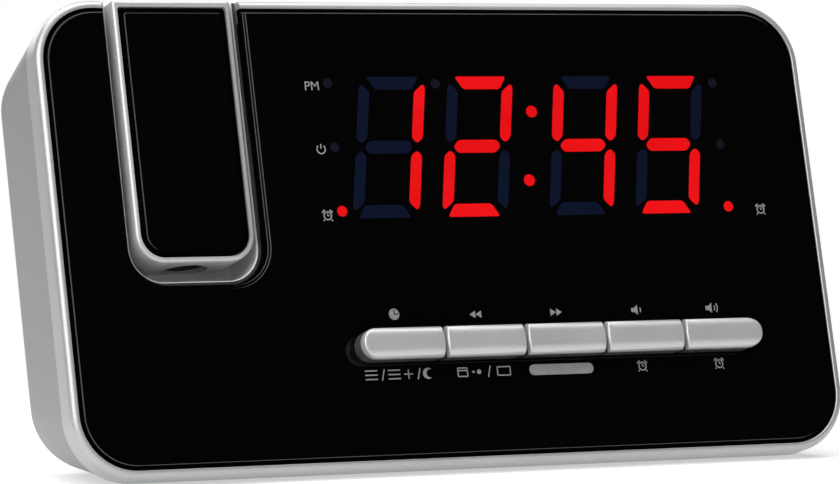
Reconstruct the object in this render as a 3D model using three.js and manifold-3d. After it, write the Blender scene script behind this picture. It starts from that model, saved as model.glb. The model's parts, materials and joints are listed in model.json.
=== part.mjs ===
// A clock radio with a flip-up projector arm. Millimetres, +Z up, front towards -Y.
// Most pieces are drawn in the face frame: x to the right, y into the case and z up the face, with the
// origin at the middle of the front panel's face. The face group then leans back on its base.
import * as THREE from "three";
import { mergeVertices } from "three/addons/utils/BufferGeometryUtils.js";
import Module from "manifold-3d";

const wasm = await Module();
wasm.setup();

// ---- driving dimensions ----
const lean = THREE.MathUtils.degToRad(15.2);
const gap = 0.3; // clearance between neighbouring fixed pieces

const panel = { width: 175.4, height: 96, corner: 11.5, thickness: 2, bevel: 0.7 };
const bezel = { rim: 1.8, round: 1.5, depth: 5.6, ledge: 2.6, spigot: 2.4, spigotWall: 1.1 };
const cabinet = { depth: 37, wall: 2.2, step: 0.3, backRound: 5, baseRound: 1.8 };
const sideTaper = THREE.MathUtils.degToRad(8);
const topTaper = THREE.MathUtils.degToRad(6);

const arm = {
  fromLeft: 17.9, length: 55.4, width: 26.4, thickness: 14, corner: 6, edge: 0.8, backEdge: 2.6,
  topRound: 5.5, wall: 1.6, floor: 1.3, hinge: 5, split: 9, rim: 1.2, topStrip: 1.6,
};
const insert = { thickness: 1.3, bevel: 0.5, corner: 4.8 };
const pivot = { depth: 7, drop: 7, pinRadius: 1.5, bushRadius: 2.5, play: 0.25 };
const tray = { sideGap: 0.95, fingerGap: 3.6, wall: 0.9, depth: 18.4, scoop: 11.5, chamfer: 0.5 };

const buttons = {
  count: 5, pitch: 18.85, fromRight: 19.1, fromBottom: 23.6, height: 6.5, proud: 4, crown: 1,
  apart: 0.5, travel: 0.8, flange: 1.2, flangeLip: 1.3,
};
const optics = {
  depth: 8, cell: 4.2, cellWall: 0.8, cellLength: 13, window: 4.8, lensUp: 2.4, lensEdge: 1.4, lensCrown: 0.9,
  ring: 6.3, ringLength: 4, ringUp: 8.6, teeth: 30, toothDepth: 0.35,
  slideUp: 17.6, slideHalf: 5, ledUp: 22.6,
};
const thumb = { radius: 9, depth: 1.4, width: 14, slot: 5.6 }; // the hollow that lets a thumb reach the ring
const display = { fromRight: 17.7, fromTop: 29.7, width: 98, height: 36, thickness: 6.5 };
const snooze = {
  fromRight: 40.5, width: 62, depth: 12, back: 22, corner: 3, proud: 0.8, flange: 1.4, lip: 1.5, stem: 4,
};
const power = { fromRight: 23.5, width: 9.2 };
const speaker = {
  fromRight: 43.5, level: 0, radius: 20, rim: 3, depth: 15, magnet: 9.5, magnetHeight: 6, coil: 6,
  slotPitch: 4.6,
};
const cell = { radius: 5.2, length: 44.5, stud: 2 };
const batteries = { fromSpeaker: 9.5, fromBottom: 37.8, length: 49, height: 23.4, depth: 12.2, wall: 1.4 };
const door = { thickness: 1.8, lip: 2, corner: 1.2, notch: 2.2 };
const vents = { fromLeft: 28.5, level: 19, count: 5, pitch: 5, height: 22 };
const slotWidth = 2;
const jack = { fromLeft: 35.5, fromBottom: 23.8, size: 9, bore: 2.8, pin: 1, length: 11 };
const aerial = { fromLeft: 23.5, neck: 2.2, flange: 3.6, bore: 0.8 };
const screw = {
  shaft: 1.4, head: 2.9, headHeight: 2, length: 16, slot: 3.2, slotWidth: 0.7, slotDepth: 1,
  inset: 11, fromTop: 17.8, fromBottom: 22.8,
};
const post = { radius: 3.4, boss: 4.4, end: 18, seat: 3, web: 4 };
const foot = { radius: 3.8, height: 0.9, recess: 0.9, inset: 21.5, front: 11, fromBack: 0.4 };
const board = { thickness: 1.6, fromRight: 17.5, fromTop: 9.8, fromBottom: 15.8, behindDisplay: 3 };

// ---- what follows from them ----
const caseWidth = panel.width + 2 * bezel.rim;
const caseHeight = panel.height + 2 * bezel.rim;
const caseCorner = panel.corner + bezel.rim;
const caseTop = caseHeight / 2;
const panelBack = panel.thickness + gap;
const trayHalf = arm.width / 2 + tray.sideGap; // inner half width of the tray
const trayOuter = trayHalf + tray.wall;
const trayCorner = arm.corner + tray.sideGap;
const pivotLevel = caseTop - pivot.drop;
const armCentre = -caseWidth / 2 + arm.fromLeft + arm.width / 2;
const armBottom = caseTop - arm.length;
const trayBottom = armBottom - tray.fingerGap; // inner face of its lower end
const rowHalf = (buttons.count * buttons.pitch) / 2;
const rowCentre = panel.width / 2 - buttons.fromRight - rowHalf;
const rowLevel = -panel.height / 2 + buttons.fromBottom;
const innerBack = cabinet.depth - cabinet.wall;

// ---- solids ----
const solidFrom = (vertProperties, indices) => {
  const make = (triVerts) => new wasm.Manifold(new wasm.Mesh({ numProp: 3, vertProperties, triVerts }));
  const made = make(indices);
  if (made.volume() >= 0) return made;
  const turned = indices.slice();
  for (let i = 0; i < turned.length; i += 3) [turned[i + 1], turned[i + 2]] = [turned[i + 2], turned[i + 1]];
  return make(turned);
};

const solid = (geometry) => {
  geometry.deleteAttribute("normal");
  geometry.deleteAttribute("uv");
  const merged = mergeVertices(geometry, 1e-4);
  return solidFrom(new Float32Array(merged.attributes.position.array), new Uint32Array(merged.index.array));
};

const box = (x0, x1, y0, y1, z0, z1) => {
  const g = new THREE.BoxGeometry(x1 - x0, y1 - y0, z1 - z0);
  return solid(g.translate((x0 + x1) / 2, (y0 + y1) / 2, (z0 + z1) / 2));
};

const joined = (first, ...rest) => rest.reduce((sum, piece) => sum.add(piece), first);
const cut = (first, ...rest) => rest.reduce((left, piece) => left.subtract(piece), first);

// A cylinder of a radius from one point along one axis to another level.
const rod = (axis, radius, [x, y, z], length, sides = 20) => {
  const g = new THREE.CylinderGeometry(radius, radius, length, sides).translate(0, length / 2, 0);
  if (axis === "x") g.rotateZ(-Math.PI / 2);
  if (axis === "z") g.rotateX(Math.PI / 2);
  return solid(g.translate(x, y, z));
};

// Turned round an axis along y or z: the profile is [radius, distance along the axis].
const turned = (axis, profile, [x, y, z], sides = 24) => {
  const g = new THREE.LatheGeometry(profile.map(([r, h]) => new THREE.Vector2(r, h)), sides);
  if (axis === "z") g.rotateX(Math.PI / 2);
  return solid(g.translate(x, y, z));
};

// An outline in x and z, extruded from y0 back to y1.
const plate = (shape, y0, y1, curveSegments = 4) => {
  const g = new THREE.ExtrudeGeometry(shape, { depth: y1 - y0, bevelEnabled: false, curveSegments });
  return solid(g.rotateX(Math.PI / 2).translate(0, y1, 0));
};

// An outline in x and y, extruded up from z0 to z1.
const slab = (shape, z0, z1, curveSegments = 3) => {
  const g = new THREE.ExtrudeGeometry(shape, { depth: z1 - z0, bevelEnabled: false, curveSegments });
  return solid(g.translate(0, 0, z0));
};

// A side profile in y and z, extruded from x0 to x1.
const profiled = (shape, x0, x1, curveSegments = 4) => {
  const g = new THREE.ExtrudeGeometry(shape, { depth: x1 - x0, bevelEnabled: false, curveSegments });
  const turn = new THREE.Matrix4().makeBasis(
    new THREE.Vector3(0, 1, 0), new THREE.Vector3(0, 0, 1), new THREE.Vector3(1, 0, 0),
  );
  return solid(g.applyMatrix4(turn).translate(x0, 0, 0));
};

// A rectangle with round corners, as a shape: each corner has its own radius, from lower left round.
const roundRect = (
  x0, x1, z0, z1, lowerLeft, lowerRight = lowerLeft, upperRight = lowerLeft, upperLeft = lowerLeft,
) => {
  const s = new THREE.Shape();
  const quarter = Math.PI / 2;
  s.moveTo(x0 + lowerLeft, z0);
  s.lineTo(x1 - lowerRight, z0);
  if (lowerRight) s.absarc(x1 - lowerRight, z0 + lowerRight, lowerRight, -quarter, 0);
  s.lineTo(x1, z1 - upperRight);
  if (upperRight) s.absarc(x1 - upperRight, z1 - upperRight, upperRight, 0, quarter);
  s.lineTo(x0 + upperLeft, z1);
  if (upperLeft) s.absarc(x0 + upperLeft, z1 - upperLeft, upperLeft, quarter, 2 * quarter);
  s.lineTo(x0, z0 + lowerLeft);
  if (lowerLeft) s.absarc(x0 + lowerLeft, z0 + lowerLeft, lowerLeft, 2 * quarter, 3 * quarter);
  return s;
};

// One ring of a loft: a rounded rectangle at depth y, with a number of steps round each corner.
const ring = (y, { x0, x1, z0, z1, low, high }, steps = 6) => {
  const points = [];
  const corners = [
    [x1 - low, z0 + low, low, -1], [x1 - high, z1 - high, high, 0],
    [x0 + high, z1 - high, high, 1], [x0 + low, z0 + low, low, 2],
  ];
  for (const [cx, cz, r, turn] of corners)
    for (let i = 0; i <= steps; i++) {
      const a = (turn + i / steps) * Math.PI / 2;
      points.push([cx + r * Math.cos(a), y, cz + r * Math.sin(a)]);
    }
  return points;
};

const loft = (rings) => {
  const n = rings[0].length;
  const indices = [];
  for (let r = 0; r + 1 < rings.length; r++)
    for (let i = 0; i < n; i++) {
      const a = r * n + i, b = r * n + (i + 1) % n;
      indices.push(a, b, b + n, a, b + n, a + n);
    }
  const last = (rings.length - 1) * n;
  for (let i = 1; i + 1 < n; i++) indices.push(0, i + 1, i, last, last + i, last + i + 1);
  return solidFrom(new Float32Array(rings.flat(2)), new Uint32Array(indices));
};

// ---- the outline of the case at a depth, drawn in by an inset ----
const smallestCorner = 0.4;
const caseAt = (depth, inset = 0, baseInset = inset) => {
  const back = Math.max(0, depth - bezel.depth);
  const step = depth > bezel.depth ? cabinet.step : 0;
  const half = caseWidth / 2 - step - back * Math.tan(sideTaper) - inset;
  const corner = Math.max(smallestCorner, caseCorner - step - inset);
  return {
    x0: -half, x1: half,
    z1: caseTop - step - back * Math.tan(topTaper) - inset,
    z0: -caseTop + step + back * Math.tan(lean) + baseInset,
    low: corner, high: corner,
  };
};

// The depth and the inset of each ring of a quarter-round edge.
const roundEdge = (radius, steps = 3) =>
  Array.from({ length: steps + 1 }, (_, i) => {
    const a = (i / steps) * Math.PI / 2;
    return [radius * (1 - Math.cos(a)), radius * (1 - Math.sin(a))];
  });

const backRings = (wall) => {
  const end = cabinet.depth - wall;
  const round = Math.max(1, cabinet.backRound - wall);
  const share = cabinet.baseRound / cabinet.backRound;
  return roundEdge(round).reverse().map(([back, inset]) =>
    ring(end - back, caseAt(end - back, wall + inset, wall + inset * share)));
};

const bezelEnvelope = loft([
  ...roundEdge(bezel.round).map(([depth, inset]) => ring(depth, caseAt(depth, inset))),
  ring(bezel.depth, caseAt(bezel.depth)),
]);
const seam = bezel.depth + gap;
const cabinetEnvelope = loft([ring(seam, caseAt(seam)), ...backRings(0)]);

// ---- front bezel and panel ----
// The outline round the arm, grown by a margin and open past the top of the case.
const armOutline = (half, bottom, corner, top = caseTop + 10, topCorner = 0) =>
  roundRect(armCentre - half, armCentre + half, bottom, top, corner, corner, topCorner, topCorner);

const armOpening = (y0, y1, grow) =>
  plate(armOutline(trayOuter + grow, trayBottom - tray.wall - grow, trayCorner + tray.wall + grow), y0, y1);

const rowShape = (grow) => roundRect(
  rowCentre - rowHalf - grow, rowCentre + rowHalf + grow,
  rowLevel - buttons.height / 2 - grow, rowLevel + buttons.height / 2 + grow, buttons.height / 2 + grow,
);

const makePanel = () => {
  const at = (depth, inset) => {
    const x = panel.width / 2 - inset, z = panel.height / 2 - inset, corner = panel.corner - inset;
    return ring(depth, { x0: -x, x1: x, z0: -z, z1: z, low: corner, high: corner });
  };
  const blank = loft([at(0, panel.bevel), at(panel.bevel, 0), at(panel.thickness, 0)]);
  return cut(
    blank,
    armOpening(-1, panel.thickness + 1, gap),
    plate(rowShape(gap), -1, panel.thickness + 1),
  );
};

const postX = caseWidth / 2 - screw.inset;
const postUp = caseTop - screw.fromTop;
const postDown = -caseTop + screw.fromBottom;
const postAt = [[-postX, postUp], [postX, postUp], [-postX, postDown], [postX, postDown]];
const bossFront = post.end + gap;
const headSeat = post.end + post.seat; // depth of the faces that the screw heads bear on

const makeBezel = () => {
  const inner = (depth, inset) => ring(depth, caseAt(0, inset));
  const ledgeInset = bezel.rim + bezel.ledge;
  const spigotInset = cabinet.step + cabinet.wall + gap;
  const spigotEnd = bezel.depth + bezel.spigot;
  const lead = 0.6; // how far the spigot draws in towards its end
  const spigotLoft = (y0, y1, inset) => loft([inner(y0, inset), inner(y1, inset + lead)]);
  const spigot = cut(
    spigotLoft(panelBack, spigotEnd, spigotInset),
    spigotLoft(0, spigotEnd + 1, spigotInset + bezel.spigotWall),
  );
  const frame = cut(
    bezelEnvelope,
    loft([inner(-1, bezel.rim - gap / 2), inner(panelBack, bezel.rim - gap / 2)]),
    loft([inner(panelBack - 1, ledgeInset), inner(bezel.depth + 1, ledgeInset)]),
  );
  const posts = postAt.map(([x, z]) => rod("y", post.radius, [x, panelBack, z], post.end - panelBack));
  const webs = postAt.map(([x, z]) => {
    const side = Math.sign(x);
    const wallX = side * (caseWidth / 2 - ledgeInset + 1);
    const half = post.web / 2;
    return box(Math.min(x, wallX), Math.max(x, wallX), panelBack, bezel.depth, z - half, z + half);
  });
  const pilots = postAt.map(([x, z]) => rod("y", screw.shaft + gap, [x, panelBack + 2, z], post.end));
  return cut(
    joined(frame, spigot, ...posts, ...webs),
    ...pilots,
    armOpening(-2, spigotEnd + 2, gap),
  );
};

// ---- arm tray: an open trough with a scooped lower end ----
const alongPin = (radius, x0, length) => rod("x", radius, [x0, pivot.depth, pivotLevel], length);
const pinHole = alongPin(pivot.pinRadius + gap, armCentre - 2 * trayOuter, 4 * trayOuter);
const makeTray = () => {
  const outer = plate(
    armOutline(trayOuter, trayBottom - tray.wall, trayCorner + tray.wall), gap / 2, tray.depth + tray.wall,
  );
  const trough = plate(armOutline(trayHalf, trayBottom, trayCorner, caseTop + 12), -1, tray.depth);
  const side = new THREE.Shape();
  const scoopDepth = tray.depth - tray.scoop;
  side.moveTo(-1, trayBottom);
  side.lineTo(scoopDepth, trayBottom);
  side.absarc(scoopDepth, trayBottom + tray.scoop, tray.scoop, -Math.PI / 2, 0);
  side.lineTo(tray.depth, caseTop + 11);
  side.lineTo(-1, caseTop + 11);
  const hollow = trough.intersect(profiled(side, armCentre - trayHalf - 1, armCentre + trayHalf + 1, 12));
  const lip = tray.chamfer;
  const mouth = plate(armOutline(trayHalf + lip, trayBottom - lip, trayCorner + lip), -1, lip);
  const acrossSeam = box(-caseWidth, caseWidth, bezel.depth - 1, seam + 1, trayBottom - 20, caseTop - 1);
  const shell = cut(outer, hollow, mouth).intersect(joined(bezelEnvelope, cabinetEnvelope, acrossSeam));
  return cut(shell, pinHole);
};

// ---- projector arm ----
const armHalf = arm.width / 2;
const armRing = (depth, inset) => ring(depth, {
  x0: armCentre - armHalf + inset, x1: armCentre + armHalf - inset,
  z0: armBottom + inset, z1: caseTop - inset,
  low: arm.corner - inset, high: smallestCorner,
});
const armLoft = loft([
  ...roundEdge(arm.edge).map(([depth, inset]) => armRing(depth, inset)),
  ...roundEdge(arm.backEdge).reverse().map(([depth, inset]) => armRing(arm.thickness - depth, inset)),
]);

// The arm seen from its side: square at the front, with a round upper back edge.
const armSide = (() => {
  const s = new THREE.Shape();
  const back = arm.topRound;
  const top = caseTop + 1;
  s.moveTo(-1, armBottom - 1);
  s.lineTo(arm.thickness + 1, armBottom - 1);
  s.lineTo(arm.thickness + 1, caseTop - back);
  s.lineTo(arm.thickness, caseTop - back);
  s.absarc(arm.thickness - back, caseTop - back, back, 0, Math.PI / 2);
  s.lineTo(arm.thickness - back, top);
  s.lineTo(-1, top);
  return s;
})();

const armBlank = armLoft.intersect(profiled(armSide, armCentre - armHalf - 1, armCentre + armHalf + 1));
const opticsHole = rod("z", optics.window, [armCentre, optics.depth, armBottom - 1], arm.wall + 2);
const hingeBlock = pivotLevel - arm.hinge; // the arm is solid above this level
const ringAt = armBottom + optics.ringUp;
const ringMiddle = ringAt + optics.ringLength / 2;
const ringSlot = (y0, y1) => box(
  armCentre - thumb.slot, armCentre + thumb.slot, y0, y1, ringAt - 0.5, ringAt + optics.ringLength + 0.5,
);

const insertShape = (grow) => roundRect(
  armCentre - armHalf + arm.rim - grow, armCentre + armHalf - arm.rim + grow,
  armBottom + arm.rim - grow, caseTop - arm.topStrip + grow,
  insert.corner + grow, insert.corner + grow, 0.5, 0.5,
);

const armInner = (y0, y1) => plate(
  armOutline(armHalf - arm.wall, armBottom + arm.wall, arm.corner - arm.wall, hingeBlock), y0, y1,
);
const pocketDepth = insert.thickness + gap;
const armFloor = pocketDepth + arm.floor;
const frontPart = (depth) => box(-caseWidth, caseWidth, -1, depth, -caseHeight, caseHeight);

const makeArmFrame = () => cut(
  armBlank.intersect(frontPart(arm.split - gap / 2)),
  plate(insertShape(gap / 2), -1, pocketDepth),
  armInner(armFloor, arm.split + 1),
  opticsHole,
  pinHole,
  ringSlot(pocketDepth - 0.5, armFloor + 0.5),
);

const makeArmCover = () => cut(
  armBlank,
  frontPart(arm.split + gap / 2),
  armInner(arm.split - 1, arm.thickness - arm.wall),
  opticsHole,
  ringSlot(arm.split - 1, arm.thickness + 1),
  rod(
    "x", thumb.radius, [armCentre - thumb.width / 2, arm.thickness + thumb.radius - thumb.depth, ringMiddle],
    thumb.width, 40,
  ),
);

const makeInsert = () => {
  const at = (depth, inset) => ring(depth, {
    x0: armCentre - armHalf + arm.rim + gap / 2 + inset, x1: armCentre + armHalf - arm.rim - gap / 2 - inset,
    z0: armBottom + arm.rim + gap / 2 + inset, z1: caseTop - arm.topStrip - gap / 2 - inset,
    low: insert.corner - gap / 2 - inset, high: smallestCorner,
  });
  return loft([at(0, insert.bevel), at(insert.bevel, 0), at(insert.thickness, 0)]);
};

const makePin = () => alongPin(pivot.pinRadius, armCentre - trayOuter + gap, 2 * (trayOuter - gap));
const makeBush = (side) => {
  const thick = tray.sideGap - 2 * pivot.play;
  const start = armCentre + side * (armHalf + tray.sideGap / 2) - thick / 2;
  return cut(alongPin(pivot.bushRadius, start, thick), pinHole);
};

// ---- projector optics, along the arm ----
const opticsAt = (level) => [armCentre, optics.depth, level];
const cellStart = armBottom + arm.wall / 2;
const cellInner = optics.cell - optics.cellWall;

const makeLensCell = () => turned("z", [
  [cellInner, 0], [optics.cell, 0], [optics.cell, optics.cellLength],
  [cellInner, optics.cellLength], [cellInner, 0],
], opticsAt(cellStart));

const makeLens = () => {
  const radius = cellInner - gap / 2;
  const steps = [0, 0.25, 0.5, 0.75, 1];
  const height = (t) => optics.lensEdge / 2 + optics.lensCrown * (1 - t * t);
  const lower = steps.map((t) => [radius * t, -height(t)]);
  const upper = steps.toReversed().map((t) => [radius * t, height(t)]);
  return turned("z", [...lower, ...upper], opticsAt(cellStart + optics.lensUp));
};

const makeFocusRing = () => {
  const shape = new THREE.Shape();
  for (let i = 0; i < optics.teeth * 2; i++) {
    const r = optics.ring - (i % 2 ? optics.toothDepth : 0);
    const a = (i / optics.teeth) * Math.PI;
    const point = [armCentre + r * Math.cos(a), optics.depth + r * Math.sin(a)];
    if (i) shape.lineTo(...point);
    else shape.moveTo(...point);
  }
  return cut(
    slab(shape, ringAt, ringAt + optics.ringLength),
    rod("z", optics.cell + gap, opticsAt(ringAt - 1), optics.ringLength + 2),
  );
};

const acrossArm = (half, level, height) =>
  box(armCentre - half, armCentre + half, optics.depth - 4, optics.depth + 4, level, level + height);
const makeSlide = () => acrossArm(optics.slideHalf, armBottom + optics.slideUp, 1.2);
const ledHeight = 6.2;
const ledLevel = armBottom + optics.ledUp;
const makeLed = () => turned("z", [
  [0, 0], [1.2, 0.3], [2.1, 1.1], [2.5, 2.4], [2.5, 5.2], [3, 5.2], [3, ledHeight], [0, ledHeight],
], opticsAt(ledLevel), 20);
const makeProjectorBoard = () => acrossArm(9, ledLevel + ledHeight + gap, board.thickness);

// ---- front buttons ----
const makeButton = (i) => {
  const first = i === 0;
  const last = i === buttons.count - 1;
  const left = rowCentre - rowHalf + i * buttons.pitch;
  const x0 = left + (first ? 0 : buttons.apart / 2);
  const x1 = left + buttons.pitch - (last ? 0 : buttons.apart / 2);
  const half = buttons.height / 2;
  const leftCorner = first ? half : 0.4;
  const rightCorner = last ? half : 0.4;
  const z0 = rowLevel - half, z1 = rowLevel + half;
  const rear = panelBack + buttons.flange;
  const outline = roundRect(x0, x1, z0, z1, leftCorner, rightCorner, rightCorner, leftCorner);
  const crownRadius = (half * half + buttons.crown * buttons.crown) / (2 * buttons.crown);
  const spread = Math.asin(half / crownRadius);
  const side = new THREE.Shape();
  side.moveTo(rear, z1 + 1);
  side.lineTo(-buttons.proud, z1 + 1);
  side.lineTo(-buttons.proud, z1);
  side.absarc(
    crownRadius - buttons.proud - buttons.crown, rowLevel, crownRadius, Math.PI - spread, Math.PI + spread,
  );
  side.lineTo(-buttons.proud, z0 - 1);
  side.lineTo(rear, z0 - 1);
  const body = plate(outline, -buttons.proud - buttons.crown - 1, rear)
    .intersect(profiled(side, x0 - 1, x1 + 1));
  const lip = buttons.flangeLip;
  const flange = box(x0 - (first ? lip : 0), x1 + (last ? lip : 0), panelBack, rear, z0 - lip, z1 + lip);
  return joined(body, flange);
};

// ---- inside ----
const displayRight = panel.width / 2 - display.fromRight;
const displayLevel = panel.height / 2 - display.fromTop;
const displayBack = panelBack + display.thickness;
const makeDisplay = () => box(
  displayRight - display.width, displayRight, panelBack, displayBack,
  displayLevel - display.height / 2, displayLevel + display.height / 2,
);

const buttonBoardFront = panelBack + buttons.flange + 3.6;
const makeButtonBoard = () => {
  const half = buttons.height / 2 + 2;
  const sheet = box(
    rowCentre - rowHalf + 2, rowCentre + rowHalf - 2, buttonBoardFront, buttonBoardFront + board.thickness,
    rowLevel - half, rowLevel + half,
  );
  const switches = Array.from({ length: buttons.count }, (_, i) => {
    const x = rowCentre - rowHalf + (i + 0.5) * buttons.pitch;
    const plungerFront = panelBack + buttons.flange + buttons.travel + 0.1;
    return joined(
      box(x - 3, x + 3, buttonBoardFront - 1.8, buttonBoardFront + 0.1, rowLevel - 3, rowLevel + 3),
      rod("y", 1.7, [x, plungerFront, rowLevel], buttonBoardFront - plungerFront, 16),
    );
  });
  return joined(sheet, ...switches);
};

// The main circuit board, to the right of the tray, with its larger parts standing on its back.
const makeMainBoard = () => {
  const front = displayBack + board.behindDisplay;
  const back = front + board.thickness;
  const left = armCentre + trayOuter + 5;
  const top = caseTop - board.fromTop;
  const sheet = box(left, caseWidth / 2 - board.fromRight, front, back, -caseTop + board.fromBottom, top);
  const block = (x, z, width, height, tall) =>
    box(left + x, left + x + width, back - 0.1, back + tall, top - z - height, top - z);
  const can = (x, z) => rod("y", 3.2, [left + x, back - 0.1, top - z], 9, 16);
  return joined(sheet, block(26, 12, 14, 14, 2), block(8, 28, 12, 8, 2.4), block(6, 40, 6, 8, 3.5),
    can(8, 16), can(16, 16), can(48, 10));
};

const speakerX = caseWidth / 2 - speaker.fromRight;
const speakerFront = innerBack - gap - speaker.depth;
const makeSpeakerFrame = () => {
  const { radius, depth, magnet, magnetHeight } = speaker;
  const plateThickness = 1.4;
  const flange = depth - plateThickness;
  return turned("y", [
    [0, 0], [magnet, 0], [magnet, magnetHeight], [magnet + 2, magnetHeight],
    [radius - 2, flange], [radius, flange], [radius, depth], [radius - speaker.rim, depth],
    [magnet + 0.6, magnetHeight + plateThickness], [0, magnetHeight + plateThickness],
  ], [speakerX, speakerFront, speaker.level], 28);
};

const makeCone = () => {
  const rim = speaker.radius - speaker.rim - 2;
  const { coil } = speaker;
  const base = speaker.magnetHeight + 2;
  const top = speaker.depth - 0.2;
  return turned("y", [
    [0, base], [coil, base], [rim - 3, top - 1.2], [rim, top - 1], [rim, top - 0.4], [rim - 3.4, top - 0.5],
    [coil, base + 2.6], [coil * 0.6, base + 3.6], [0, base + 4],
  ], [speakerX, speakerFront, speaker.level], 28);
};

// ---- battery compartment in the back of the cabinet ----
const bayFront = innerBack - batteries.depth;
const bayX = speakerX - speaker.radius - batteries.fromSpeaker - batteries.length / 2;
const bayLevel = -caseTop + batteries.fromBottom;
const bay = (grow, y0, y1) => box(
  bayX - batteries.length / 2 - grow, bayX + batteries.length / 2 + grow, y0, y1,
  bayLevel - batteries.height / 2 - grow, bayLevel + batteries.height / 2 + grow,
);
const doorFront = cabinet.depth - door.thickness;
const doorShape = (grow) => roundRect(
  bayX - batteries.length / 2 - door.lip - grow, bayX + batteries.length / 2 + door.lip + grow,
  bayLevel - batteries.height / 2 - door.lip - grow, bayLevel + batteries.height / 2 + door.lip + grow,
  door.corner + grow,
);
const doorTop = bayLevel + batteries.height / 2 + door.lip;
const makeDoor = () => cut(
  plate(doorShape(0), doorFront, cabinet.depth, 1),
  rod("x", door.notch, [bayX - 6, cabinet.depth + 1.2, doorTop - 3], 12),
);

const cellAt = (side) => [
  bayX - cell.length / 2, innerBack - cell.radius - 0.9, bayLevel + side * (cell.radius + gap),
];
const makeCell = (side) => {
  const [x, y, z] = cellAt(side);
  return joined(
    rod("x", cell.radius, [x + (side > 0 ? 0 : 1), y, z], cell.length - 1, 24),
    rod("x", cell.stud, [x + (side > 0 ? cell.length - 1.1 : 0), y, z], 1.1, 16),
  );
};
const makeContact = (side) => {
  const x = bayX + side * (batteries.length / 2 - 0.9);
  const half = batteries.height / 2 - 1.1;
  return box(x - 0.3, x + 0.3, bayFront + 0.6, innerBack - 0.8, bayLevel - half, bayLevel + half);
};

const jackX = -caseWidth / 2 + jack.fromLeft;
const aerialX = -caseWidth / 2 + aerial.fromLeft;
const socketLevel = -caseTop + jack.fromBottom; // the inlet and the aerial bush sit side by side
const makeJack = () => {
  const x = jackX, z = socketLevel;
  const { size, length } = jack;
  const back = innerBack - gap;
  return joined(
    cut(
      box(x - size / 2, x + size / 2, back - length, back, z - size / 2, z + size / 2),
      rod("y", jack.bore, [x, back - length + 2, z], length, 24),
    ),
    rod("y", jack.pin, [x, back - length + 1.5, z], length - 3, 12),
  );
};

const makeAerialBush = () => {
  const { bore, neck, flange } = aerial;
  const outside = cabinet.wall + 2.1;
  return turned("y", [
    [bore, 0], [neck + 0.9, 0], [neck + 0.9, 1.2], [neck, 1.6], [neck, outside],
    [flange, outside], [flange - 0.5, outside + 1.1], [bore, outside + 1.3], [bore, 0],
  ], [aerialX, innerBack - 1.9, socketLevel], 20);
};

// ---- top buttons: caps that stand in the top wall, with a flange below it ----
const topAt = (depth) => caseAt(depth).z1;
const capShape = (x, halfX, grow) => roundRect(
  x - halfX - grow, x + halfX + grow,
  snooze.back - snooze.depth / 2 - grow, snooze.back + snooze.depth / 2 + grow, snooze.corner + grow,
);
const underCapTop = (x0, x1) => {
  const s = new THREE.Shape();
  const y0 = snooze.back - snooze.depth, y1 = snooze.back + snooze.depth;
  s.moveTo(y0, 0);
  s.lineTo(y1, 0);
  s.lineTo(y1, topAt(y1) + snooze.proud);
  s.lineTo(y0, topAt(y0) + snooze.proud);
  return profiled(s, x0, x1);
};
const flangeTop = topAt(snooze.back + snooze.depth) - cabinet.wall - 0.8;
const snoozeX = caseWidth / 2 - snooze.fromRight - snooze.width / 2;
const powerX = caseWidth / 2 - power.fromRight;
const makeCap = (x, halfX) => {
  const cap = slab(capShape(x, halfX, 0), flangeTop - 0.5, caseTop + 5)
    .intersect(underCapTop(x - halfX - 1, x + halfX + 1));
  const flange = slab(capShape(x, halfX, snooze.lip), flangeTop - snooze.flange, flangeTop);
  const half = snooze.stem / 2;
  const stem = box(
    x - half, x + half, snooze.back - half, snooze.back + half, flangeTop - 4, flangeTop - 0.5,
  );
  return joined(cap, flange, stem);
};

const capHole = (x, halfX) => slab(capShape(x, halfX, gap), flangeTop, caseTop + 1);

// ---- rear cabinet ----
const baseFront = [bezel.depth, -caseTop + cabinet.step]; // depth and level of the front edge of its base
const levelled = (geometry) => solid(geometry.rotateX(lean).translate(0, ...baseFront));
const baseLength = (cabinet.depth - bezel.depth) / Math.cos(lean);
const footX = caseWidth / 2 - foot.inset;
const backFoot = baseLength - cabinet.baseRound - foot.fromBack - gap - foot.radius;
const footAt = [
  [-footX, foot.front], [footX, foot.front], [-footX, backFoot], [footX, backFoot],
];
const footBody = (radius, z0, z1, [x, y]) =>
  new THREE.CylinderGeometry(radius, radius, z1 - z0, 20).rotateX(Math.PI / 2).translate(x, y, (z0 + z1) / 2);

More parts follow.
